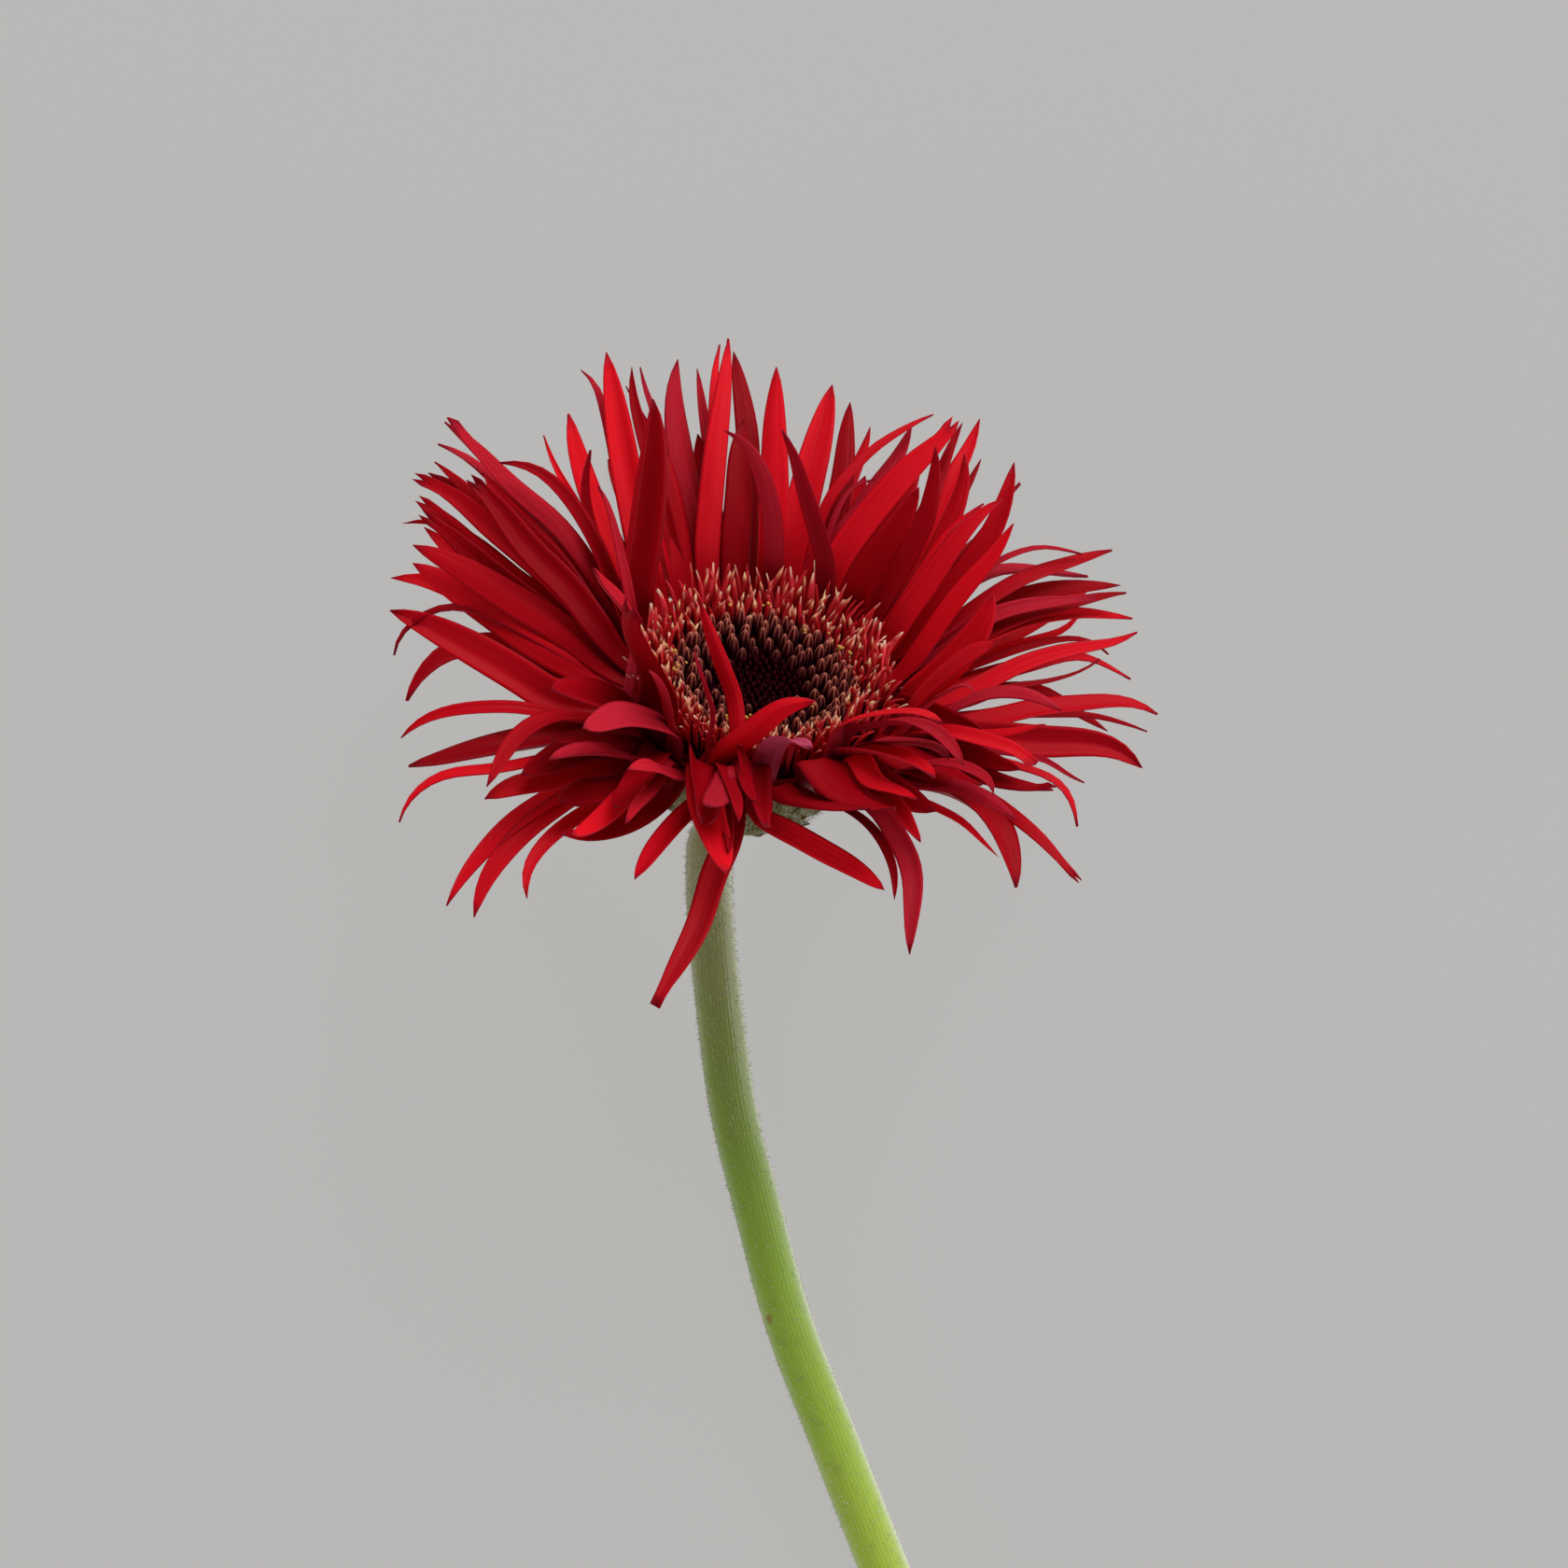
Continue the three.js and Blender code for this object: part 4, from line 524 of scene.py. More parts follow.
def finish_piece(bm, name, material, replaced=()):
    """Scales bm to metres and makes it a smooth piece of the flower."""
    bmesh.ops.scale(bm, vec=(MM, MM, MM), verts=bm.verts)
    mesh = bpy.data.meshes.new(name)
    bm.to_mesh(mesh)
    bm.free()
    mesh.polygons.foreach_set("use_smooth", [True] * len(mesh.polygons))
    mesh.materials.append(material)
    piece = bpy.data.objects.new(name, mesh)
    bpy.context.scene.collection.objects.link(piece)
    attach(piece, "root")
    if replaced:
        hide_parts(*replaced)


# Materials

def srgb(code):
    """An sRGB hex colour as linear red, green, blue and alpha."""
    values = [int(code[i:i + 2], 16) / 255 for i in (1, 3, 5)]
    linear = [v / 12.92 if v <= 0.04045 else ((v + 0.055) / 1.055) ** 2.4 for v in values]
    return (*linear, 1.0)


def add_node(tree, kind, links=None, values=None, **settings):
    """Adds a shader node. links and values are keyed by the input's name or number."""
    made = tree.nodes.new("ShaderNode" + kind)
    for name, value in settings.items():
        setattr(made, name, value)
    for socket, value in (values or {}).items():
        made.inputs[socket].default_value = value
    for socket, source in (links or {}).items():
        tree.links.new(source, made.inputs[socket])
    return made


def new_material(name, **constants):
    """A material with one Principled shader, whose constant sockets are set from constants."""
    material = bpy.data.materials.new(name)
    material.use_nodes = True
    tree = material.node_tree
    shader = tree.nodes["Principled BSDF"]
    for socket, value in constants.items():
        shader.inputs[socket.replace("_", " ")].default_value = value
    return material, tree, shader


def read_attribute(tree, name):
    return add_node(tree, "Attribute", attribute_name=name).outputs["Fac"]


def calc(tree, operation, first, second=0.0):
    """One sum of two numbers or sockets."""
    inputs = {0: first, 1: second}
    links = {k: v for k, v in inputs.items() if isinstance(v, bpy.types.NodeSocket)}
    values = {k: v for k, v in inputs.items() if k not in links}
    return add_node(tree, "Math", links, values, operation=operation).outputs[0]


def blend_colours(tree, factor, first, second):
    """Mixes two colours, each a hex code or a socket."""
    inputs = {0: factor, 6: first, 7: second}
    links = {k: v for k, v in inputs.items() if isinstance(v, bpy.types.NodeSocket)}
    values = {k: srgb(v) if isinstance(v, str) else v for k, v in inputs.items() if k not in links}
    return add_node(tree, "Mix", links, values, data_type="RGBA").outputs[2]


def remap(tree, source, low, high, out_low=0.0, out_high=1.0):
    """Takes the range from low to high to the range from out_low to out_high, with soft ends."""
    values = {"From Min": low, "From Max": high, "To Min": out_low, "To Max": out_high}
    made = add_node(tree, "MapRange", {"Value": source}, values, interpolation_type="SMOOTHSTEP")
    return made.outputs["Result"]


def speckle(tree, grain_mm, detail=2.0):
    """Noise with cells of about grain_mm."""
    place = add_node(tree, "TexCoord").outputs["Object"]
    made = add_node(tree, "TexNoise", {"Vector": place}, {"Scale": 1 / (grain_mm * MM), "Detail": detail})
    return made.outputs["Fac"]


def relief(tree, shader, height, depth_mm):
    """Bumps the shader's surface by height, a number from 0 to 1 that stands for depth_mm."""
    made = add_node(tree, "Bump", {"Height": height}, {"Strength": 1.0, "Distance": depth_mm * MM})
    tree.links.new(made.outputs["Normal"], shader.inputs["Normal"])


def petal_skin():
    """Gerbera petal: thin satin tissue, velvety from tiny raised cells, with parallel veins.
    Light glows through it a little, and its back is a duller rose than its face. Its colour also
    holds painted light: painted shade darkens it towards the root, its dark and bright tones are
    partly painted shade and light, and its rose and mauve casts are partly painted sheen."""
    material, tree, shader = new_material(
        "red_petal_skin", Roughness=0.5, IOR=1.38, Specular_IOR_Level=0.11, Subsurface_Weight=0.35,
        Subsurface_Scale=0.7 * MM, Subsurface_Radius=(1.0, 0.06, 0.08))
    along = read_attribute(tree, "along")
    across = read_attribute(tree, "across")
    under = read_attribute(tree, "under")
    tone = read_attribute(tree, "tone")

    # The tone runs from dark to bright red: partly the petal's own red, partly painted shade and light.
    face = blend_colours(tree, tone, "#94000e", "#e81020")
    # The back's duller rose is partly its own colour and partly painted sheen.
    back = blend_colours(tree, tone, "#9a0a22", "#cc2c40")
    colour = blend_colours(tree, under, face, back)
    # Painted shade: the petal is darkened towards its root, where the petals crowd round the disc and shade
    # one another.
    foot = remap(tree, along, 0.05, 0.5, 0.62, 0.0)
    colour = blend_colours(tree, foot, colour, "#66000a")

    wobble = calc(tree, "MULTIPLY", speckle(tree, 6), 1.6)
    phase = calc(tree, "ADD", calc(tree, "MULTIPLY", across, PETAL_VEINS * math.pi), wobble)
    vein = remap(tree, calc(tree, "SINE", phase), -1, 1)
    colour = blend_colours(tree, calc(tree, "MULTIPLY", vein, 0.06), colour, "#4d0008")
    # A pinkish-mauve cast over the whole petal: partly its own colour and partly painted sheen.
    mauve = calc(tree, "MULTIPLY", read_attribute(tree, "mauve"), 0.85)
    colour = blend_colours(tree, mauve, colour, "#c04c6c")

    edge = remap(tree, calc(tree, "ABSOLUTE", across), 0.88, 1.0, 0.0, 0.35)
    colour = blend_colours(tree, edge, colour, "#4a0418")
    tip = remap(tree, along, 0.93, 1.0, 0.0, 0.5)
    colour = blend_colours(tree, tip, colour, "#4a0418")
    tree.links.new(colour, shader.inputs["Base Color"])

    grain = calc(tree, "MULTIPLY", speckle(tree, 0.35), 0.35)
    relief(tree, shader, calc(tree, "ADD", vein, grain), 0.018)
    return material


def floret_skin():
    """Trans floret: the petals' red tissue as a short strap, paling to cream at the tip."""
    material, tree, shader = new_material(
        "red_floret_strap", Roughness=0.5, IOR=1.4, Subsurface_Weight=0.2, Subsurface_Scale=0.5 * MM,
        Subsurface_Radius=(1.0, 0.15, 0.1))
    along = read_attribute(tree, "along")
    tone = read_attribute(tree, "tone")
    red = blend_colours(tree, tone, "#c40c1a", "#f43c48")
    # Painted shade: darker towards the foot, down among the crowded florets.
    red = blend_colours(tree, remap(tree, along, 0.45, 0.0), red, "#5c040a")
    pale = calc(tree, "MULTIPLY", remap(tree, along, 0.8, 1.0), remap(tree, tone, 0.3, 0.8))
    colour = blend_colours(tree, pale, red, "#ffd0b0")
    tree.links.new(colour, shader.inputs["Base Color"])
    relief(tree, shader, speckle(tree, 0.4), 0.04)
    return material


def style_skin():
    """Style and anther tube: waxy tissue, red at the foot and cream to yellow on top."""
    material, tree, shader = new_material(
        "cream_style", Roughness=0.45, IOR=1.4, Subsurface_Weight=0.2, Subsurface_Scale=0.5 * MM,
        Subsurface_Radius=(1.0, 0.6, 0.3))
    along = read_attribute(tree, "along")
    tone = read_attribute(tree, "tone")
    # Painted shade: darker towards the foot, down among the crowded florets.
    red = blend_colours(tree, remap(tree, along, 0.5, 0.1), "#d0242c", "#5c040a")
    cream = blend_colours(tree, tone, "#c83c38", "#f2cc98")
    colour = blend_colours(tree, remap(tree, along, 0.7, 0.92), red, cream)
    tree.links.new(colour, shader.inputs["Base Color"])
    relief(tree, shader, speckle(tree, 0.25), 0.03)
    return material


def bud_skin():
    """Unopened disc floret: matt ribbed tissue, maroon in its grooves and at its foot and tan on its
    ribs and tip, and all maroon while it is young. The maroon in the grooves and at the foot is
    partly painted shade, and the tan on the ribs and tip is partly a painted highlight."""
    material, tree, shader = new_material(
        "ribbed_floret_bud", Roughness=0.55, IOR=1.4, Specular_IOR_Level=0.15)
    along = read_attribute(tree, "along")
    rib = read_attribute(tree, "across")
    tone = read_attribute(tree, "tone")
    # Partly painted highlight and shade: tan on the ribs, maroon in the grooves.
    ridge = remap(tree, rib, -0.2, 0.9)
    body = blend_colours(tree, ridge, "#420a14", "#98404a")
    crown = blend_colours(tree, ridge, "#5e141c", "#d88068")
    colour = blend_colours(tree, remap(tree, along, 0.35, 0.85), body, crown)
    # Painted shade: darker towards the foot, down among the crowded buds.
    colour = blend_colours(tree, remap(tree, along, 0.6, 0.1), colour, "#34050e")
    colour = blend_colours(tree, calc(tree, "MULTIPLY", tone, 0.8), colour, "#38060f")
    tree.links.new(colour, shader.inputs["Base Color"])
    relief(tree, shader, speckle(tree, 0.2), 0.03)
    return material


def heart_skin():
    """Youngest buds: near-black maroon, matt, a little redder on each tiny tip."""
    material, tree, shader = new_material(
        "dark_heart_buds", Roughness=0.6, IOR=1.4, Specular_IOR_Level=0.06)
    along = read_attribute(tree, "along")
    colour = blend_colours(tree, remap(tree, along, 0.5, 1.0), "#220007", "#440514")
    tree.links.new(colour, shader.inputs["Base Color"])
    relief(tree, shader, speckle(tree, 0.3), 0.05)
    return material


def bract_skin():
    """Bract: matt grey-green leaf tissue with fine ribs and a reddish point."""
    material, tree, shader = new_material(
        "hairy_green_bract", Roughness=0.65, IOR=1.4, Subsurface_Weight=0.1, Subsurface_Scale=0.6 * MM,
        Subsurface_Radius=(0.6, 0.8, 0.2))
    along = read_attribute(tree, "along")
    across = read_attribute(tree, "across")
    green = blend_colours(tree, speckle(tree, 1.5), "#5e5832", "#8c8456")
    colour = blend_colours(tree, remap(tree, along, 0.8, 1.0, 0.0, 0.7), green, "#7a4038")
    stripes = calc(tree, "SINE", calc(tree, "MULTIPLY", across, BRACT_STRIPES * math.pi))
    stripe = remap(tree, stripes, -1, 1)
    colour = blend_colours(tree, calc(tree, "MULTIPLY", stripe, 0.4), colour, "#38321a")
    tree.links.new(colour, shader.inputs["Base Color"])
    relief(tree, shader, stripe, 0.06)
    return material


def stalk_skin():
    """Flower stalk: smooth waxy skin with fine ridges, grey-green near the head and yellow-green
    below, with one small brown scar. A painted highlight makes its edges pale, most on the right,
    where light from the right falls."""
    material, tree, shader = new_material(
        "green_stalk_skin", Roughness=0.42, IOR=1.42, Coat_Weight=0.15, Coat_Roughness=0.45,
        Sheen_Weight=0.5, Sheen_Roughness=0.35, Subsurface_Weight=0.25, Subsurface_Scale=1.2 * MM,
        Subsurface_Radius=(0.5, 0.9, 0.15))
    along = read_attribute(tree, "along")
    around = read_attribute(tree, "across")
    fresh = blend_colours(tree, remap(tree, along, 0.2, 0.6), "#86a832", "#b6cc46")
    colour = blend_colours(tree, remap(tree, along, 0.02, 0.3), "#8a8258", fresh)

    # Painted highlight: the edges are painted pale, most on the right side, as light from the right would
    # light them.
    facing = add_node(tree, "LayerWeight", values={"Blend": 0.5}).outputs["Facing"]
    normal = add_node(tree, "TexCoord").outputs["Normal"]
    sideways = add_node(tree, "SeparateXYZ", {0: normal}).outputs["X"]
    rim = remap(tree, facing, 0.18, 0.85)
    down = calc(tree, "MULTIPLY", rim, remap(tree, sideways, -0.2, 0.8, 0.15, 0.85))
    colour = blend_colours(tree, down, colour, "#e2ead0")

    ridges = calc(tree, "SINE", calc(tree, "MULTIPLY", around, STALK_RIDGES * math.pi))
    ridge = remap(tree, ridges, -1, 1)
    mottle = speckle(tree, 2.5, 4.0)
    colour = blend_colours(tree, calc(tree, "MULTIPLY", ridge, 0.08), colour, "#5c7430")
    colour = blend_colours(tree, remap(tree, mottle, 0.55, 0.75, 0.0, 0.25), colour, "#6d8040")

    place = add_node(tree, "TexCoord").outputs["Object"]
    far = add_node(tree, "VectorMath", {0: place}, {1: scar_place()}, operation="DISTANCE")
    scar = remap(tree, far.outputs["Value"], 1.1 * MM, 0.3 * MM, 0.0, 0.8)
    colour = blend_colours(tree, scar, colour, "#8a6436")
    tree.links.new(colour, shader.inputs["Base Color"])
    relief(tree, shader, calc(tree, "ADD", ridge, mottle), 0.03)
    return material


def hair_skin():
    """Plant hair: a hollow white filament that scatters light."""
    material, _, shader = new_material("white_plant_hair", Roughness=0.5, IOR=1.4)
    shader.inputs["Base Color"].default_value = srgb("#e8eadc")
    return material


def pollen_skin():
    """Pollen: matt yellow grains."""
    material, tree, shader = new_material("yellow_pollen", Roughness=0.7, IOR=1.45)
    colour = blend_colours(tree, speckle(tree, 0.3), "#c08a34", "#e2b45a")
    tree.links.new(colour, shader.inputs["Base Color"])
    return material


# Petals

def petal_width(t, end):
    """How wide a petal is along its length: narrow at the root, widest past the middle, and
    pointed, unless its end is toothed or blunt."""
    grown = 0.6 + 0.4 * ease(t / 0.38)
    taper = 1 if t < 0.45 else (1 - ((t - 0.45) / 0.55) ** 3.0) ** 0.75
    return grown * max(taper, END_WIDTHS[end])


def bezier(points, t):
    a, b, c, d = points
    s = 1 - t
    return a * s ** 3 + b * 3 * s * s * t + c * 3 * s * t * t + d * t ** 3


def smooth_curve(points, steps):
    """Closely spaced points of the smooth curve that runs through the given points."""
    first = points[0] * 2 - points[1]
    last = points[-1] * 2 - points[-2]
    padded = [first, *points, last]
    fine = []
    for a, b, c, d in zip(padded, padded[1:], padded[2:], padded[3:]):
        before, span, after = ((q - p).length ** 0.5 for p, q in ((a, b), (b, c), (c, d)))
        leave = ((b - a) / before - (c - a) / (before + span) + (c - b) / span) * span
        arrive = ((c - b) / span - (d - b) / (span + after) + (d - c) / after) * span
        for step in range(steps):
            u = step / steps
            fine.append(b + leave * u + (c * 3 - b * 3 - leave * 2 - arrive) * u ** 2
                        + (b * 2 - c * 2 + leave + arrive) * u ** 3)
    return [*fine, points[-1]]


def evenly_spaced(fine, count):
    """count + 1 points along a finely drawn curve, the same distance apart, and its length."""
    lengths = [0.0]
    for a, b in zip(fine, fine[1:]):
        lengths.append(lengths[-1] + (b - a).length)
    line, k = [], 0
    for step in range(count + 1):
        wanted = lengths[-1] * step / count
        while k < len(lengths) - 2 and lengths[k + 1] < wanted:
            k += 1
        line.append(fine[k].lerp(fine[k + 1], (wanted - lengths[k]) / (lengths[k + 1] - lengths[k])))
    return line, lengths[-1]


def clear_of_florets(point):
    """Moves a point of a petal out of the room that the florets take."""
    radius = math.hypot(point.x, point.y)
    if FLORET_CLEAR_FLOOR < point.z < FLORET_CLEAR_HEIGHT and radius < FLORET_CLEAR_RADIUS:
        scale = FLORET_CLEAR_RADIUS / radius
        return Vector((point.x * scale, point.y * scale, point.z))
    return point


def smoothed(points, passes):
    for _ in range(passes):
        middle = [(a + b * 2 + c) / 4 for a, b, c in zip(points, points[1:], points[2:])]
        points = [points[0], *middle, points[-1]]
    return points


def azimuth_of(point):
    return math.degrees(math.atan2(point.y, point.x))


def plan_point(x, y, height):
    """A point that is given in plan from the middle of the face, in the head's own frame."""
    return HEAD_INVERSE @ Vector((x + FACE_CENTRE.x, y + FACE_CENTRE.y, height))


def plain_curve(petal, azimuth):
    """A petal's root, and a plain arched curve to its tip, when it leaves the head at azimuth."""
    tip = petal["tip"]
    reach = math.hypot(tip.x, tip.y) - PETAL_RIM_RADIUS
    elevation = math.degrees(math.atan2(tip.z - MIDDLE_RIM_HEIGHT, reach))
    rim_height = lerp(OUTER_RIM_HEIGHT, INNER_RIM_HEIGHT, clamp(elevation / STEEPEST_RISE))
    root = head_point(azimuth, PETAL_ROOT_RADIUS, rim_height)
    rim = head_point(azimuth, PETAL_RIM_RADIUS, rim_height)
    chord = tip - rim
    lift = chord.cross(head_point(azimuth + 90, 1, 0)).normalized() * chord.length * petal["arch"] * 1.33
    return root, (rim, rim + chord * 0.16 + lift, rim + chord * 0.64 + lift, tip)


def petal_guides(petal, curve):
    """The points that a petal's path passes, from its rim outward, as high as its plain curve."""
    if not petal["path"]:
        return [bezier(curve, 1 / 3), bezier(curve, 2 / 3)]
    rim, tip = (HEAD @ curve[k] - FACE_CENTRE for k in (0, 3))
    places = [rim.xy, *(Vector(place) for place in reversed(petal["path"])), tip.xy]
    lengths = [0.0]
    for a, b in zip(places, places[1:]):
        lengths.append(lengths[-1] + (b - a).length)
    guides = []
    for place, length in zip(places[1:-1], lengths[1:]):
        beside = HEAD @ bezier(curve, length / lengths[-1])
        guides.append(plan_point(place.x, place.y, beside.z))
    return guides


def petal_line(petal):
    """A petal's middle line in the head's frame, from its root over the rim to its tip."""
    azimuth = azimuth_of(petal["tip"])
    for _ in range(3):
        root, curve = plain_curve(petal, azimuth)
        guides = petal_guides(petal, curve)
        azimuth = azimuth_of(guides[0])
    fine = smooth_curve([root, curve[0], *guides, curve[3]], 12)
    line, _ = evenly_spaced(fine, PETAL_ALONG)
    kept = [point if row < ROOT_ROWS else clear_of_florets(point) for row, point in enumerate(line)]
    return smoothed(kept, 2), head_point(azimuth_of(root) + 90, 1, 0)


def roll_to_level(forward, wide):
    """The angle by which a petal rolls round its length to lie level across."""
    upward = HEAD.to_3x3().transposed() @ Vector((0, 0, 1))
    level = upward.cross(forward).normalized()
    if level.dot(wide) < 0:
        level = -level
    return math.atan2(forward.dot(wide.cross(level)), wide.dot(level))


def petal_sections(petal):
    """Where each row of a petal lies: its middle, its forward, sideways and upward directions."""
    points, wide = petal_line(petal)
    sections = []
    for row, point in enumerate(points):
        t = row / PETAL_ALONG
        forward = (points[min(row + 1, PETAL_ALONG)] - points[max(row - 1, 0)]).normalized()
        wide = (wide - forward * wide.dot(forward)).normalized()
        turned = wide.copy()
        angle = math.radians(petal["twist"] * t * t + petal["roll"] * ease(t / TURNED_BY))
        if petal["turned"]:
            angle = roll_to_level(forward, wide) * ease(t / TURNED_BY)
        turned.rotate(Matrix.Rotation(angle, 3, forward))
        sections.append((point, forward, turned, forward.cross(turned)))
    return sections


def real_width(petal, sections):
    """A petal's width, from the width seen from above and the way that its middle is turned."""
    shares = []
    for row in MIDDLE_ROWS:
        _, forward, wide, _ = (HEAD.to_3x3() @ vector for vector in sections[row])
        along = forward.xy.normalized()
        shares.append(abs(along.cross(wide.xy)))
    return petal["width"] / clamp(sum(shares) / len(shares), LEAST_SEEN, MOST_SEEN)


def tooth_gap(across, t, end):
    """How far back the end of a toothed petal is cut, between its two teeth and beside them."""
    if end != "toothed" or t < 0.9:
        return 0.0
    return TOOTH_DEPTH * (0.5 + 0.5 * math.cos(2 * math.pi * across)) * (t - 0.9) / 0.1


def soft_floor(height):
    """Keeps a height above nought, with a gentle bend instead of a kink where it comes down."""
    return (height + math.hypot(height, PRESS_BEND)) / 2


def bend_petal(verts, petal):
    """Bends a flat strip to a petal: channelled or roofed across, ribbed, thin at its edges."""
    sections = petal_sections(petal)
    width = real_width(petal, sections)
    end = petal["end"]
    for vert in verts:
        across, t, top = vert.co
        point, forward, wide, up = sections[round(t * PETAL_ALONG)]
        half = width / 2 * petal_width(t, end)
        off_crease = abs(across - petal["crease"]) * (1 if petal["fold"] > 0 else 0.7)
        rise = petal["fold"] * off_crease * half * ease(t / FOLDED_BY)
        rise += petal["rib"] * math.cos(3 * math.pi * across) * ease(t / FOLDED_BY) * half
        thickness = lerp(PETAL_THICKNESS, PETAL_EDGE_THICKNESS, across * across) * lerp(1, 0.7, t)
        rise -= (1 - top) * thickness
        rise += petal["curl"] * clamp((t - 0.86) / 0.14) ** 2
        ripple = petal["ripple"] * math.sin(t * 9 + petal["phase"]) * abs(across) * ease(t / TURNED_BY)
        local = point + wide * across * half + up * (rise + ripple)
        local -= forward * tooth_gap(across, t, end)
        vert.co = HEAD @ local
        if petal["pressed"]:
            bed = TABLE_GAP + PRESSED_THICKNESS * top
            vert.co.z = bed + soft_floor(vert.co.z - bed)


def petal_habit(draw, look):
    """How one petal differs from the next: its folds, its ripple, its colour and its end. Its tone
    is partly painted shade and light.
    """
    words = look.split()
    roofed = draw.random() < 0.35
    tone = draw.uniform(*next((TONES[word] for word in words if word in TONES), TONES["usual"]))
    fold = -draw.uniform(0.2, 0.4) if roofed else draw.uniform(0.2, 0.6)
    ribbed = 0 if "flat" in words else 1
    return {
        "fold": next((FOLDS[word] for word in words if word in FOLDS), fold),
        "turned": "turned" in words,
        "red": "red" in words,
        "mauve": 1.0 if "mauve" in words else 0.0,
        "crease": draw.uniform(-0.35, 0.35),
        "rib": ribbed * draw.uniform(0.0, 0.04),
        "ripple": draw.uniform(0.0, 0.2),
        "phase": draw.uniform(0, 6),
        "curl": draw.uniform(-0.5, 1.1),
        "roll": draw.uniform(-PETAL_ROLL, PETAL_ROLL),
        "tone": tone,
        "rose": draw.uniform(0.5, 0.9) if "rose" in words else draw.uniform(0, 0.1),
        "end": next((word for word in words if word in END_WIDTHS), "pointed"),
    }


def seen_petals(turn, draw):
    """The petals that the photo shows. turn is the draw that the solids use too."""
    return [{
        "tip": plan_point(*petal["tip"]), "width": petal["width"], "path": petal["path"],
        "arch": petal.get("arch", PETAL_ARCH), "twist": (turn() * 2 - 1) * PETAL_TWIST,
        "pressed": False, **petal_habit(draw, petal.get("look", ""))} for petal in PETALS]


def back_petals(turn, draw):
    """The petals under the head, which lie out of the photo's sight and carry it."""
    petals = []
    for i in range(BACK_PETALS):
        azimuth = lerp(BACK_FROM, BACK_TO, (i + 0.3 + 0.4 * turn()) / BACK_PETALS)
        elevation = math.radians(12 * (turn() - 0.5))
        length = BACK_LENGTH + 4 * (turn() - 0.5)
        reach = PETAL_RIM_RADIUS + length * math.cos(elevation)
        petals.append({
            **petal_habit(draw, ""),
            "tip": head_point(azimuth, reach, OUTER_RIM_HEIGHT + length * math.sin(elevation)),
            "width": BACK_WIDTH + 0.6 * (turn() - 0.5), "path": [], "arch": BACK_ARCH,
            "twist": 0, "roll": 0, "curl": 0, "pressed": True})
    return petals


def turned_ring(bm, profile, sides):
    """Adds a closed ring of the given profile, spun round the head's axis."""
    ring = [bm.verts.new((radius, 0, height)) for radius, height in profile]
    edges = [bm.edges.new((a, b)) for a, b in zip(ring, ring[1:] + ring[:1])]
    bmesh.ops.spin(
        bm, geom=ring + edges, cent=(0, 0, 0), axis=(0, 0, 1), angle=2 * math.pi, steps=sides,
        use_merge=True)


def make_petals(material):
    bm = bmesh.new()
    template = strip_template(PETAL_ACROSS, PETAL_ALONG)
    turn = seeded_draw(PETAL_SEED)
    draw = random.Random(PETAL_SEED)
    for petal in seen_petals(turn, draw) + back_petals(turn, draw):
        verts = add_copy(bm, template, petal["tone"])
        under = bm.verts.layers.float["under"]
        mauve = bm.verts.layers.float["mauve"]
        for vert in verts:
            # Faces take some of the back's rose, rose petals much of it: partly painted sheen.
            vert[under] = petal["rose"] if petal["red"] else max(vert[under], petal["rose"])
            vert[mauve] = petal["mauve"]
        bend_petal(verts, petal)
    finish_piece(bm, "petals", material, ["ray_petals"])


def make_receptacle(material):
    """The ring of tissue under the petals' roots."""
    bm = bmesh.new()
    add_layers(bm)
    turned_ring(bm, CORE_PROFILE, 64)
    bmesh.ops.remove_doubles(bm, verts=bm.verts, dist=1e-4)
    bmesh.ops.recalc_face_normals(bm, faces=bm.faces)
    bmesh.ops.transform(bm, matrix=HEAD, verts=bm.verts)
    finish_piece(bm, "petal_ring", material, ["ray_petals"])


# Disc

def ring_places(rings, draw, jitter):
    """Places all round each ring, every second ring set half a step round."""
    for index, (radius, count) in enumerate(rings):
        for i in range(count):
            azimuth = 360 * (i + 0.5 * (index % 2) + draw.uniform(-jitter, jitter)) / count
            yield azimuth, radius + draw.uniform(-jitter, jitter)


def floret_length(radius, longest, draw):
    """Florets are longer towards the outside of the disc."""
    return longest * (0.62 + 0.38 * clamp((radius - 12) / 4)) * draw.uniform(0.66, 1.0)


def make_straps(material):
    """Trans florets: narrow straps that stand up, lean about and curl outward."""
    bm = bmesh.new()
    template = strip_template(2, 7)
    draw = random.Random(DISC_SEED)
    for azimuth, radius in ring_places(STRAP_RINGS, draw, 0.35):
        length = floret_length(radius, STRAP_LENGTH, draw)
        width = STRAP_WIDTH * draw.uniform(0.5, 1.0)
        lean = draw.uniform(-0.12, 0.34)
        sway = draw.uniform(-0.22, 0.22)
        curl = draw.uniform(-0.1, 0.6)
        root = head_point(azimuth, radius, DISC_TOP - 0.4)
        outward, around = directions(azimuth)
        side = head_point(azimuth + 90 + draw.uniform(-50, 50), 1, 0)
        for vert in add_copy(bm, template, draw.random()):
            across, t, top = vert.co
            widening = 0.55 + 0.45 * ease(t / 0.5)
            narrowing = 1 - 0.85 * clamp((t - 0.55) / 0.45) ** 1.6
            half = width / 2 * widening * narrowing
            bow = lean * t * length + curl * t ** 4 * length * 0.4
            local = root + outward * (bow + 0.16 * (1 - top)) + side * across * half
            local += outward * abs(across) * 0.2 + around * sway * t * t * length
            local.z += length * t * (1 - 0.12 * abs(curl) * t)
            vert.co = HEAD @ local
    finish_piece(bm, "floret_straps", material, ["trans_florets"])


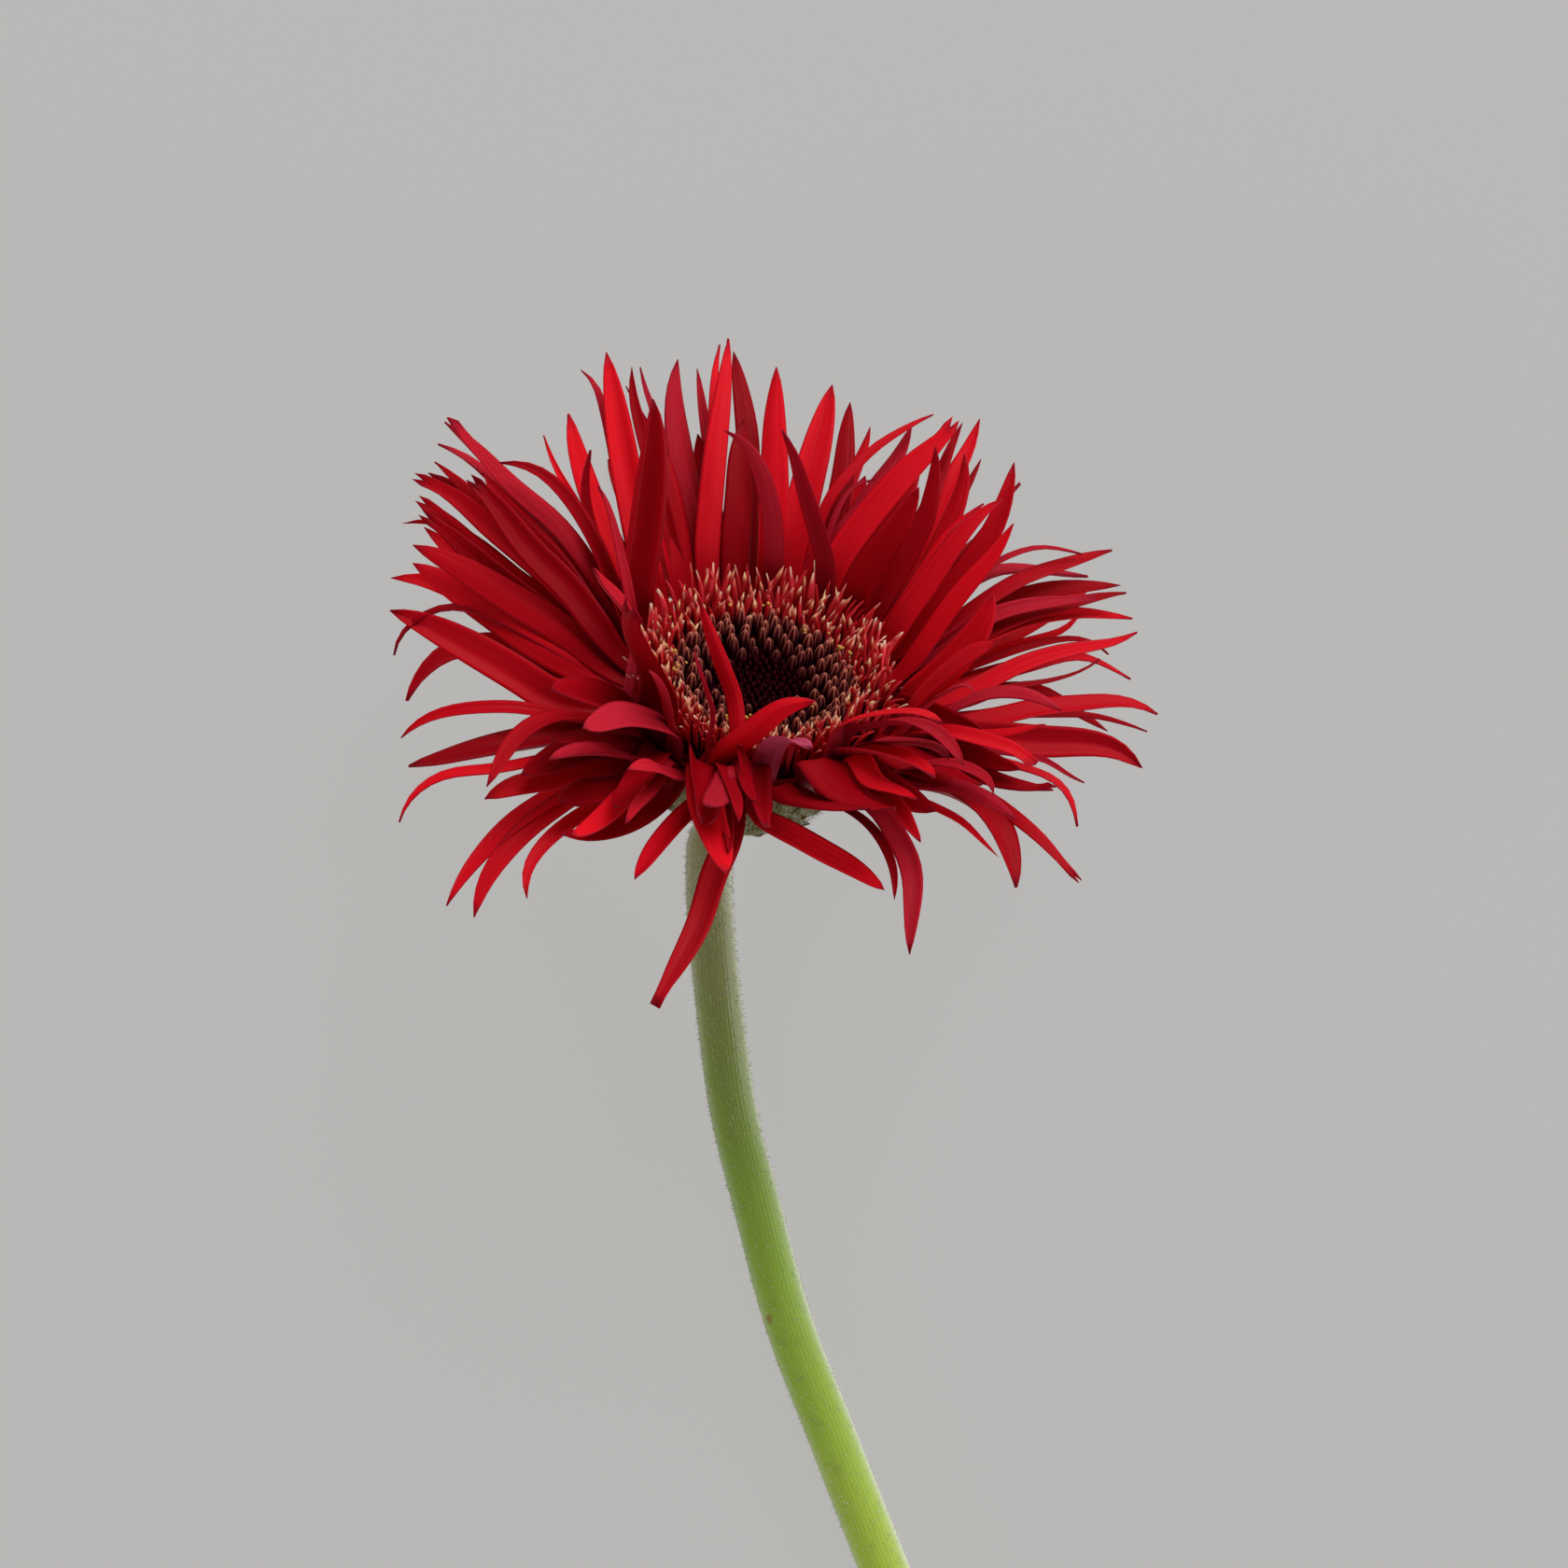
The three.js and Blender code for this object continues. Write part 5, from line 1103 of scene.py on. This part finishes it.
def make_styles(material):
    """Styles and anther tubes: thin rods among the straps, swollen near the tip."""
    bm = bmesh.new()
    template = spike_template(4, 4)
    draw = random.Random(DISC_SEED + 1)
    for azimuth, radius in ring_places(STYLE_RINGS, draw, 0.4):
        length = floret_length(radius, STYLE_LENGTH, draw)
        girth = draw.uniform(0.14, 0.26)
        lean = draw.uniform(-0.16, 0.28)
        sway = draw.uniform(-0.24, 0.24)
        root = head_point(azimuth, radius, DISC_TOP - 0.3)
        outward, side = directions(azimuth)
        for vert in add_copy(bm, template, draw.random()):
            x, y, t = vert.co
            swell = girth * (1.4 if 0.6 < t < 0.9 else 1)
            local = root + outward * (x * swell + lean * t * t * length)
            local += side * (y * swell + sway * t * t * length)
            local.z += length * t
            vert.co = HEAD @ local
    finish_piece(bm, "floret_styles", material, ["trans_florets"])


def make_buds(material):
    """Unopened florets: ribbed pointed bullets in rings, taller outwards."""
    bm = bmesh.new()
    template = spike_template(15, 6)
    draw = random.Random(DISC_SEED + 2)
    for azimuth, radius in ring_places(BUD_RINGS, draw, 0.2):
        length = BUD_LENGTH * (0.5 + 0.045 * radius) * draw.uniform(0.8, 1.1)
        girth = BUD_RADIUS * draw.uniform(0.85, 1.12)
        lean = draw.uniform(-0.04, 0.14)
        root = head_point(azimuth, radius, DISC_TOP - 0.4)
        outward, side = directions(azimuth)
        youth = clamp((9.4 - radius) / 3.4) * 0.75 + draw.uniform(0, 0.25)
        for vert in add_copy(bm, template, youth):
            x, y, t = vert.co
            swell = girth * (0.72 + 0.34 * math.sin(math.pi * clamp(t / 1.2)))
            swell *= 1 + 0.2 * math.cos(BUD_RIBS * math.atan2(y, x))
            swell *= max(1 - t ** 4, 0.0) ** 0.6
            local = root + outward * (x * swell + lean * t * length) + side * y * swell
            local.z += length * t
            vert.co = HEAD @ local
    finish_piece(bm, "floret_buds", material, ["disc_buds"])


def make_pollen(material):
    """Loose pollen and spilled anthers, caught among the florets."""
    bm = bmesh.new()
    add_layers(bm)
    draw = random.Random(DISC_SEED + 4)
    for _ in range(POLLEN_CLUMPS):
        azimuth, radius, height = draw.uniform(0, 360), draw.gauss(12.6, 1.2), draw.uniform(-2.2, -0.6)
        for _ in range(draw.randint(1, 4)):
            spread = Vector([draw.uniform(-0.4, 0.4) for _ in range(3)])
            place = HEAD @ (head_point(azimuth, radius, height) + spread)
            grain = Matrix.Translation(place) @ Matrix.Diagonal((1, 1, draw.uniform(0.7, 1.8), 1))
            bmesh.ops.create_icosphere(bm, subdivisions=1, radius=draw.uniform(0.14, 0.3), matrix=grain)
    finish_piece(bm, "pollen", material)


def make_heart(material):
    """The youngest buds, packed in a spiral, a little taller outwards."""
    bm = bmesh.new()
    template = spike_template(5, 2)
    draw = random.Random(DISC_SEED + 3)
    for i in range(HEART_BUDS):
        radius = HEART_RADIUS * math.sqrt((i + 0.5) / HEART_BUDS)
        azimuth = i * GOLDEN_ANGLE
        length = 1.3 + 0.16 * radius
        root = head_point(azimuth, radius, DISC_TOP - 0.1)
        for vert in add_copy(bm, template, draw.random()):
            x, y, t = vert.co
            girth = HEART_BUD_GIRTH * (1 - 0.55 * t)
            vert.co = HEAD @ (root + Vector((x * girth, y * girth, length * t)))
    finish_piece(bm, "heart_buds", material, ["disc_heart"])


def make_disc_floor(material):
    """The dark receptacle that the florets and buds stand on."""
    bm = bmesh.new()
    add_layers(bm)
    bmesh.ops.create_circle(bm, cap_ends=True, segments=48, radius=DISC_FLOOR_RADIUS)
    grown = bmesh.ops.extrude_face_region(bm, geom=bm.faces[:], use_keep_orig=True)["geom"]
    bmesh.ops.translate(bm, vec=(0, 0, DISC_FLOOR_THICKNESS), verts=verts_of(grown))
    bmesh.ops.recalc_face_normals(bm, faces=bm.faces)
    bmesh.ops.translate(bm, vec=(0, 0, DISC_TOP - DISC_FLOOR_THICKNESS), verts=bm.verts)
    bmesh.ops.transform(bm, matrix=HEAD, verts=bm.verts)
    finish_piece(bm, "disc_floor", material, ["disc_heart"])


# Calyx and stalk

def drift(point):
    """The cup drifts sideways towards its foot, where the neck of the stalk bends."""
    return point + Vector((NECK_DRIFT * (point.z - CUP_WALL[0][1]), 0, 0))


def cup_radius(height):
    for (r0, h0), (r1, h1) in zip(CUP_WALL, CUP_WALL[1:]):
        if height >= h1:
            return lerp(r0, r1, clamp((height - h0) / (h1 - h0)))
    return CUP_WALL[-1][0]


def make_cup(material):
    """The cup: a turned wall with rows of overlapping bracts pressed to it."""
    bm = bmesh.new()
    template = strip_template(4, 8)
    draw = random.Random(CUP_SEED)
    for row, (count, tip_height, length, width) in enumerate(BRACT_ROWS):
        for i in range(count):
            azimuth = 360 * (i + 0.5 * row + draw.uniform(-0.15, 0.15)) / count
            side = head_point(azimuth + 90, 1, 0)
            flare = draw.uniform(0.6, 1.3)
            for vert in add_copy(bm, template, draw.random()):
                across, t, top = vert.co
                height = tip_height - length * (1 - t)
                radius = cup_radius(max(height, LOWEST_BRACT)) + lerp(-0.2, flare, t)
                half = width / 2 * (1 - t ** 2.6) + 0.05
                radius -= (1 - top) * BRACT_THICKNESS + across * across * BRACT_CUPPING
                vert.co = HEAD @ drift(head_point(azimuth, radius, height) + side * -across * half)
    lid = [(14.0, CUP_TOP), (BORE_RADIUS, CUP_TOP)]
    start = len(bm.verts)
    turned_ring(bm, [(BORE_RADIUS, CUP_WALL[-1][1]), *reversed(CUP_WALL), *lid], 48)
    bm.verts.ensure_lookup_table()
    bmesh.ops.remove_doubles(bm, verts=bm.verts[start:], dist=1e-4)
    bm.verts.ensure_lookup_table()
    for vert in bm.verts[start:]:
        vert.co = HEAD @ drift(vert.co)
    bmesh.ops.recalc_face_normals(bm, faces=bm.faces)
    finish_piece(bm, "bract_cup", material, ["calyx"])


def add_hair(bm, template, root, direction, length, girth):
    """One hair: a thin spike from root along direction."""
    turn = direction.to_track_quat("Z", "Y")
    for vert in add_copy(bm, template, 0.5):
        x, y, t = vert.co
        thin = girth * (1 - 0.6 * t)
        vert.co = root + turn @ Vector((x * thin, y * thin, t * length))


def make_cup_hairs(material):
    """Long white hairs all over the cup, leaning up and about."""
    bm = bmesh.new()
    template = spike_template(HAIR_SIDES, 1)
    draw = random.Random(CUP_SEED + 1)
    for _ in range(CUP_HAIRS):
        azimuth = draw.uniform(0, 360)
        height = draw.uniform(LOWEST_BRACT, -11.5)
        radius = cup_radius(height) + 0.3
        root = drift(head_point(azimuth, radius, height))
        out = head_point(azimuth + draw.uniform(-40, 40), 1, draw.uniform(0.1, 1.3)).normalized()
        direction = (HEAD.to_3x3() @ out).normalized()
        add_hair(bm, template, HEAD @ root, direction, draw.uniform(0.8, 2.0), CUP_HAIR_GIRTH)
    finish_piece(bm, "cup_hairs", material)


def stalk_line():
    """Evenly spaced points of the stalk's middle line, from the foot of the cup to the cut end."""
    foot = drift(Vector((0, 0, CUP_WALL[-1][1] + STALK_IN_CUP)))
    top = HEAD @ foot
    second = HEAD @ (foot - Vector((0, 0, NECK_LENGTH)))
    offset = Vector((FACE_CENTRE.x, FACE_CENTRE.y, 0))
    lying = [Vector(point) + offset for point in STALK_POINTS]
    for point in lying:
        point.z = max(point.z, CUT_RADIUS)
    return evenly_spaced(smooth_curve([top, second, *lying], 100), STALK_RINGS)


def stalk_radius(t):
    return lerp(NECK_RADIUS, CUT_RADIUS, t)


def stalk_sections():
    """Each ring's middle, sideways and upward directions, and radius."""
    line, total = stalk_line()
    sections = []
    for ring, point in enumerate(line):
        t = ring / STALK_RINGS
        forward = (line[min(ring + 1, STALK_RINGS)] - line[max(ring - 1, 0)]).normalized()
        side = forward.cross(Vector((0, 0, 1))).normalized()
        radius = stalk_radius(t)
        middle = point.copy()
        middle.z = max(middle.z, radius)
        sections.append((middle, side, side.cross(forward), radius))
    return sections, total


def make_stalk(material):
    """The stalk: a tube grown ring by ring along its middle line, and its sunken cut end."""
    bm = bmesh.new()
    layers = add_layers(bm)
    sections, _ = stalk_sections()
    bmesh.ops.create_circle(bm, cap_ends=True, segments=STALK_SIDES, radius=1)
    rows = [bm.verts[:]]
    rim = bm.edges[:]
    for ring in range(1, STALK_RINGS + 1):
        grown = bmesh.ops.extrude_edge_only(bm, edges=rim)["geom"]
        rows.append(verts_of(grown))
        rim = [part for part in grown if isinstance(part, bmesh.types.BMEdge) and part.is_boundary]
    cut = bmesh.ops.contextual_create(bm, geom=rim)["faces"]
    for ring, row in enumerate(rows):
        middle, side, up, radius = sections[ring]
        for vert in row:
            angle = math.atan2(vert.co.y, vert.co.x)
            ribbed = radius * (1 + STALK_RIB_DEPTH * math.cos(STALK_RIBS * angle))
            vert[layers["across"]] = abs(angle) / math.pi
            vert[layers["along"]] = ring / STALK_RINGS
            vert.co = middle + side * math.cos(angle) * ribbed + up * math.sin(angle) * ribbed
            vert.co.z = max(vert.co.z, 0.0)
    bmesh.ops.inset_individual(bm, faces=cut, thickness=CUT_RIM)
    end = sections[-1][0] - sections[-2][0]
    bmesh.ops.translate(bm, vec=end.normalized() * -CUT_DEPTH, verts=cut[0].verts)
    bmesh.ops.recalc_face_normals(bm, faces=bm.faces)
    finish_piece(bm, "stalk", material, ["stem"])


def make_stalk_hairs(material):
    """Short white down, thick at the neck and gone further down the stalk."""
    bm = bmesh.new()
    template = spike_template(HAIR_SIDES, 1)
    draw = random.Random(STALK_SEED)
    sections, total = stalk_sections()
    for _ in range(STALK_HAIRS):
        t = HAIRY_LENGTH * draw.random() ** 1.7 / total
        middle, side, up, radius = sections[round(t * STALK_RINGS)]
        slide = draw.uniform(-0.7, 0.7)
        ahead = side.cross(up)
        angle = draw.uniform(0, 2 * math.pi)
        out = side * math.cos(angle) + up * math.sin(angle)
        root = middle + out * (radius * 0.99) + ahead * slide
        direction = (out + ahead * draw.uniform(-0.8, 0.8) + Vector((0, 0, 0.1))).normalized()
        length = draw.uniform(0.25, 0.8)
        if root.z + direction.z * length > 0.05:
            add_hair(bm, template, root, direction, length, STALK_HAIR_GIRTH)
    finish_piece(bm, "stalk_hairs", material)


def photo_place(pixel, height):
    """The point, in millimetres, that the photograph shows at a pixel and that has this height."""
    return Vector((FACE_CENTRE.x + (pixel[0] - FACE_PIXEL[0]) * PIXEL,
                   FACE_CENTRE.y + (FACE_PIXEL[1] - pixel[1]) * PIXEL, height))


def scar_place():
    """The middle of the scar on the stalk's upper side, in metres."""
    return photo_place(SCAR_PIXEL, 2 * stalk_radius(SCAR_ALONG) - SCAR_BELOW_TOP) * MM


# Surroundings

def make_floor():
    """A wide pale table top, lit from below as a light table is, so it takes little shadow."""
    bm = bmesh.new()
    bmesh.ops.create_grid(bm, x_segments=1, y_segments=1, size=30)
    mesh = bpy.data.meshes.new("table")
    bm.to_mesh(mesh)
    bm.free()
    material, _, shader = new_material(
        "pale_matt_paint", Roughness=0.9, Specular_IOR_Level=0.05, Emission_Strength=0.555)
    shader.inputs["Base Color"].default_value = srgb("#3e3d3f")
    shader.inputs["Emission Color"].default_value = srgb("#e9e7e4")
    mesh.materials.append(material)
    table = bpy.data.objects.new("table", mesh)
    bpy.context.scene.collection.objects.link(table)


def add_softbox(name, place, power, size, mirrored=True):
    """A big soft light that faces the flower's head, and that glossy skins mirror or not."""
    light = bpy.data.lights.new(name, "AREA")
    light.shape = "DISK"
    light.size = size
    light.energy = power
    lamp = bpy.data.objects.new(name, light)
    lamp.location = place
    head = FACE_CENTRE * MM
    lamp.rotation_mode = "QUATERNION"
    lamp.rotation_quaternion = (Vector(place) - head).to_track_quat("Z", "Y")
    lamp.visible_camera = False
    lamp.visible_glossy = mirrored
    bpy.context.scene.collection.objects.link(lamp)


def make_lights():
    """Soft windows behind and to the right, a weaker fill from the left, and a pale room."""
    add_softbox("window_top", (0.55, 1.5, 1.15), power=25, size=1.3)
    add_softbox("window_right", (1.6, -0.1, 0.34), power=15, size=1.1)
    add_softbox("fill_left", (-1.35, -0.5, 0.95), power=10, size=1.4, mirrored=False)
    world = bpy.data.worlds.new("soft_room")
    world.use_nodes = True
    background = world.node_tree.nodes["Background"]
    background.inputs["Color"].default_value = srgb("#dfe0e4")
    background.inputs["Strength"].default_value = 0.27
    bpy.context.scene.world = world


def make_camera():
    """A camera straight above, which shows the middle of the face at the photograph's scale."""
    centre = photo_place((PHOTO_SIZE / 2, PHOTO_SIZE / 2), FACE_CENTRE.z) * MM
    camera = bpy.data.cameras.new("camera")
    camera.sensor_width = 36
    camera.lens = camera.sensor_width * CAMERA_DISTANCE / (PHOTO_SIZE * PIXEL * MM)
    camera.clip_end = 100
    stand = bpy.data.objects.new("camera", camera)
    stand.location = centre + Vector((0, 0, CAMERA_DISTANCE))
    bpy.context.scene.collection.objects.link(stand)
    bpy.context.scene.camera = stand


petal_material = petal_skin()
heart_material = heart_skin()
hair_material = hair_skin()
make_petals(petal_material)
make_receptacle(petal_material)
make_straps(floret_skin())
make_styles(style_skin())
make_buds(bud_skin())
make_pollen(pollen_skin())
make_heart(heart_material)
make_disc_floor(heart_material)
make_cup(bract_skin())
make_cup_hairs(hair_material)
make_stalk(stalk_skin())
make_stalk_hairs(hair_material)
make_floor()
make_lights()
make_camera()

bpy.context.scene.view_settings.view_transform = "Standard"
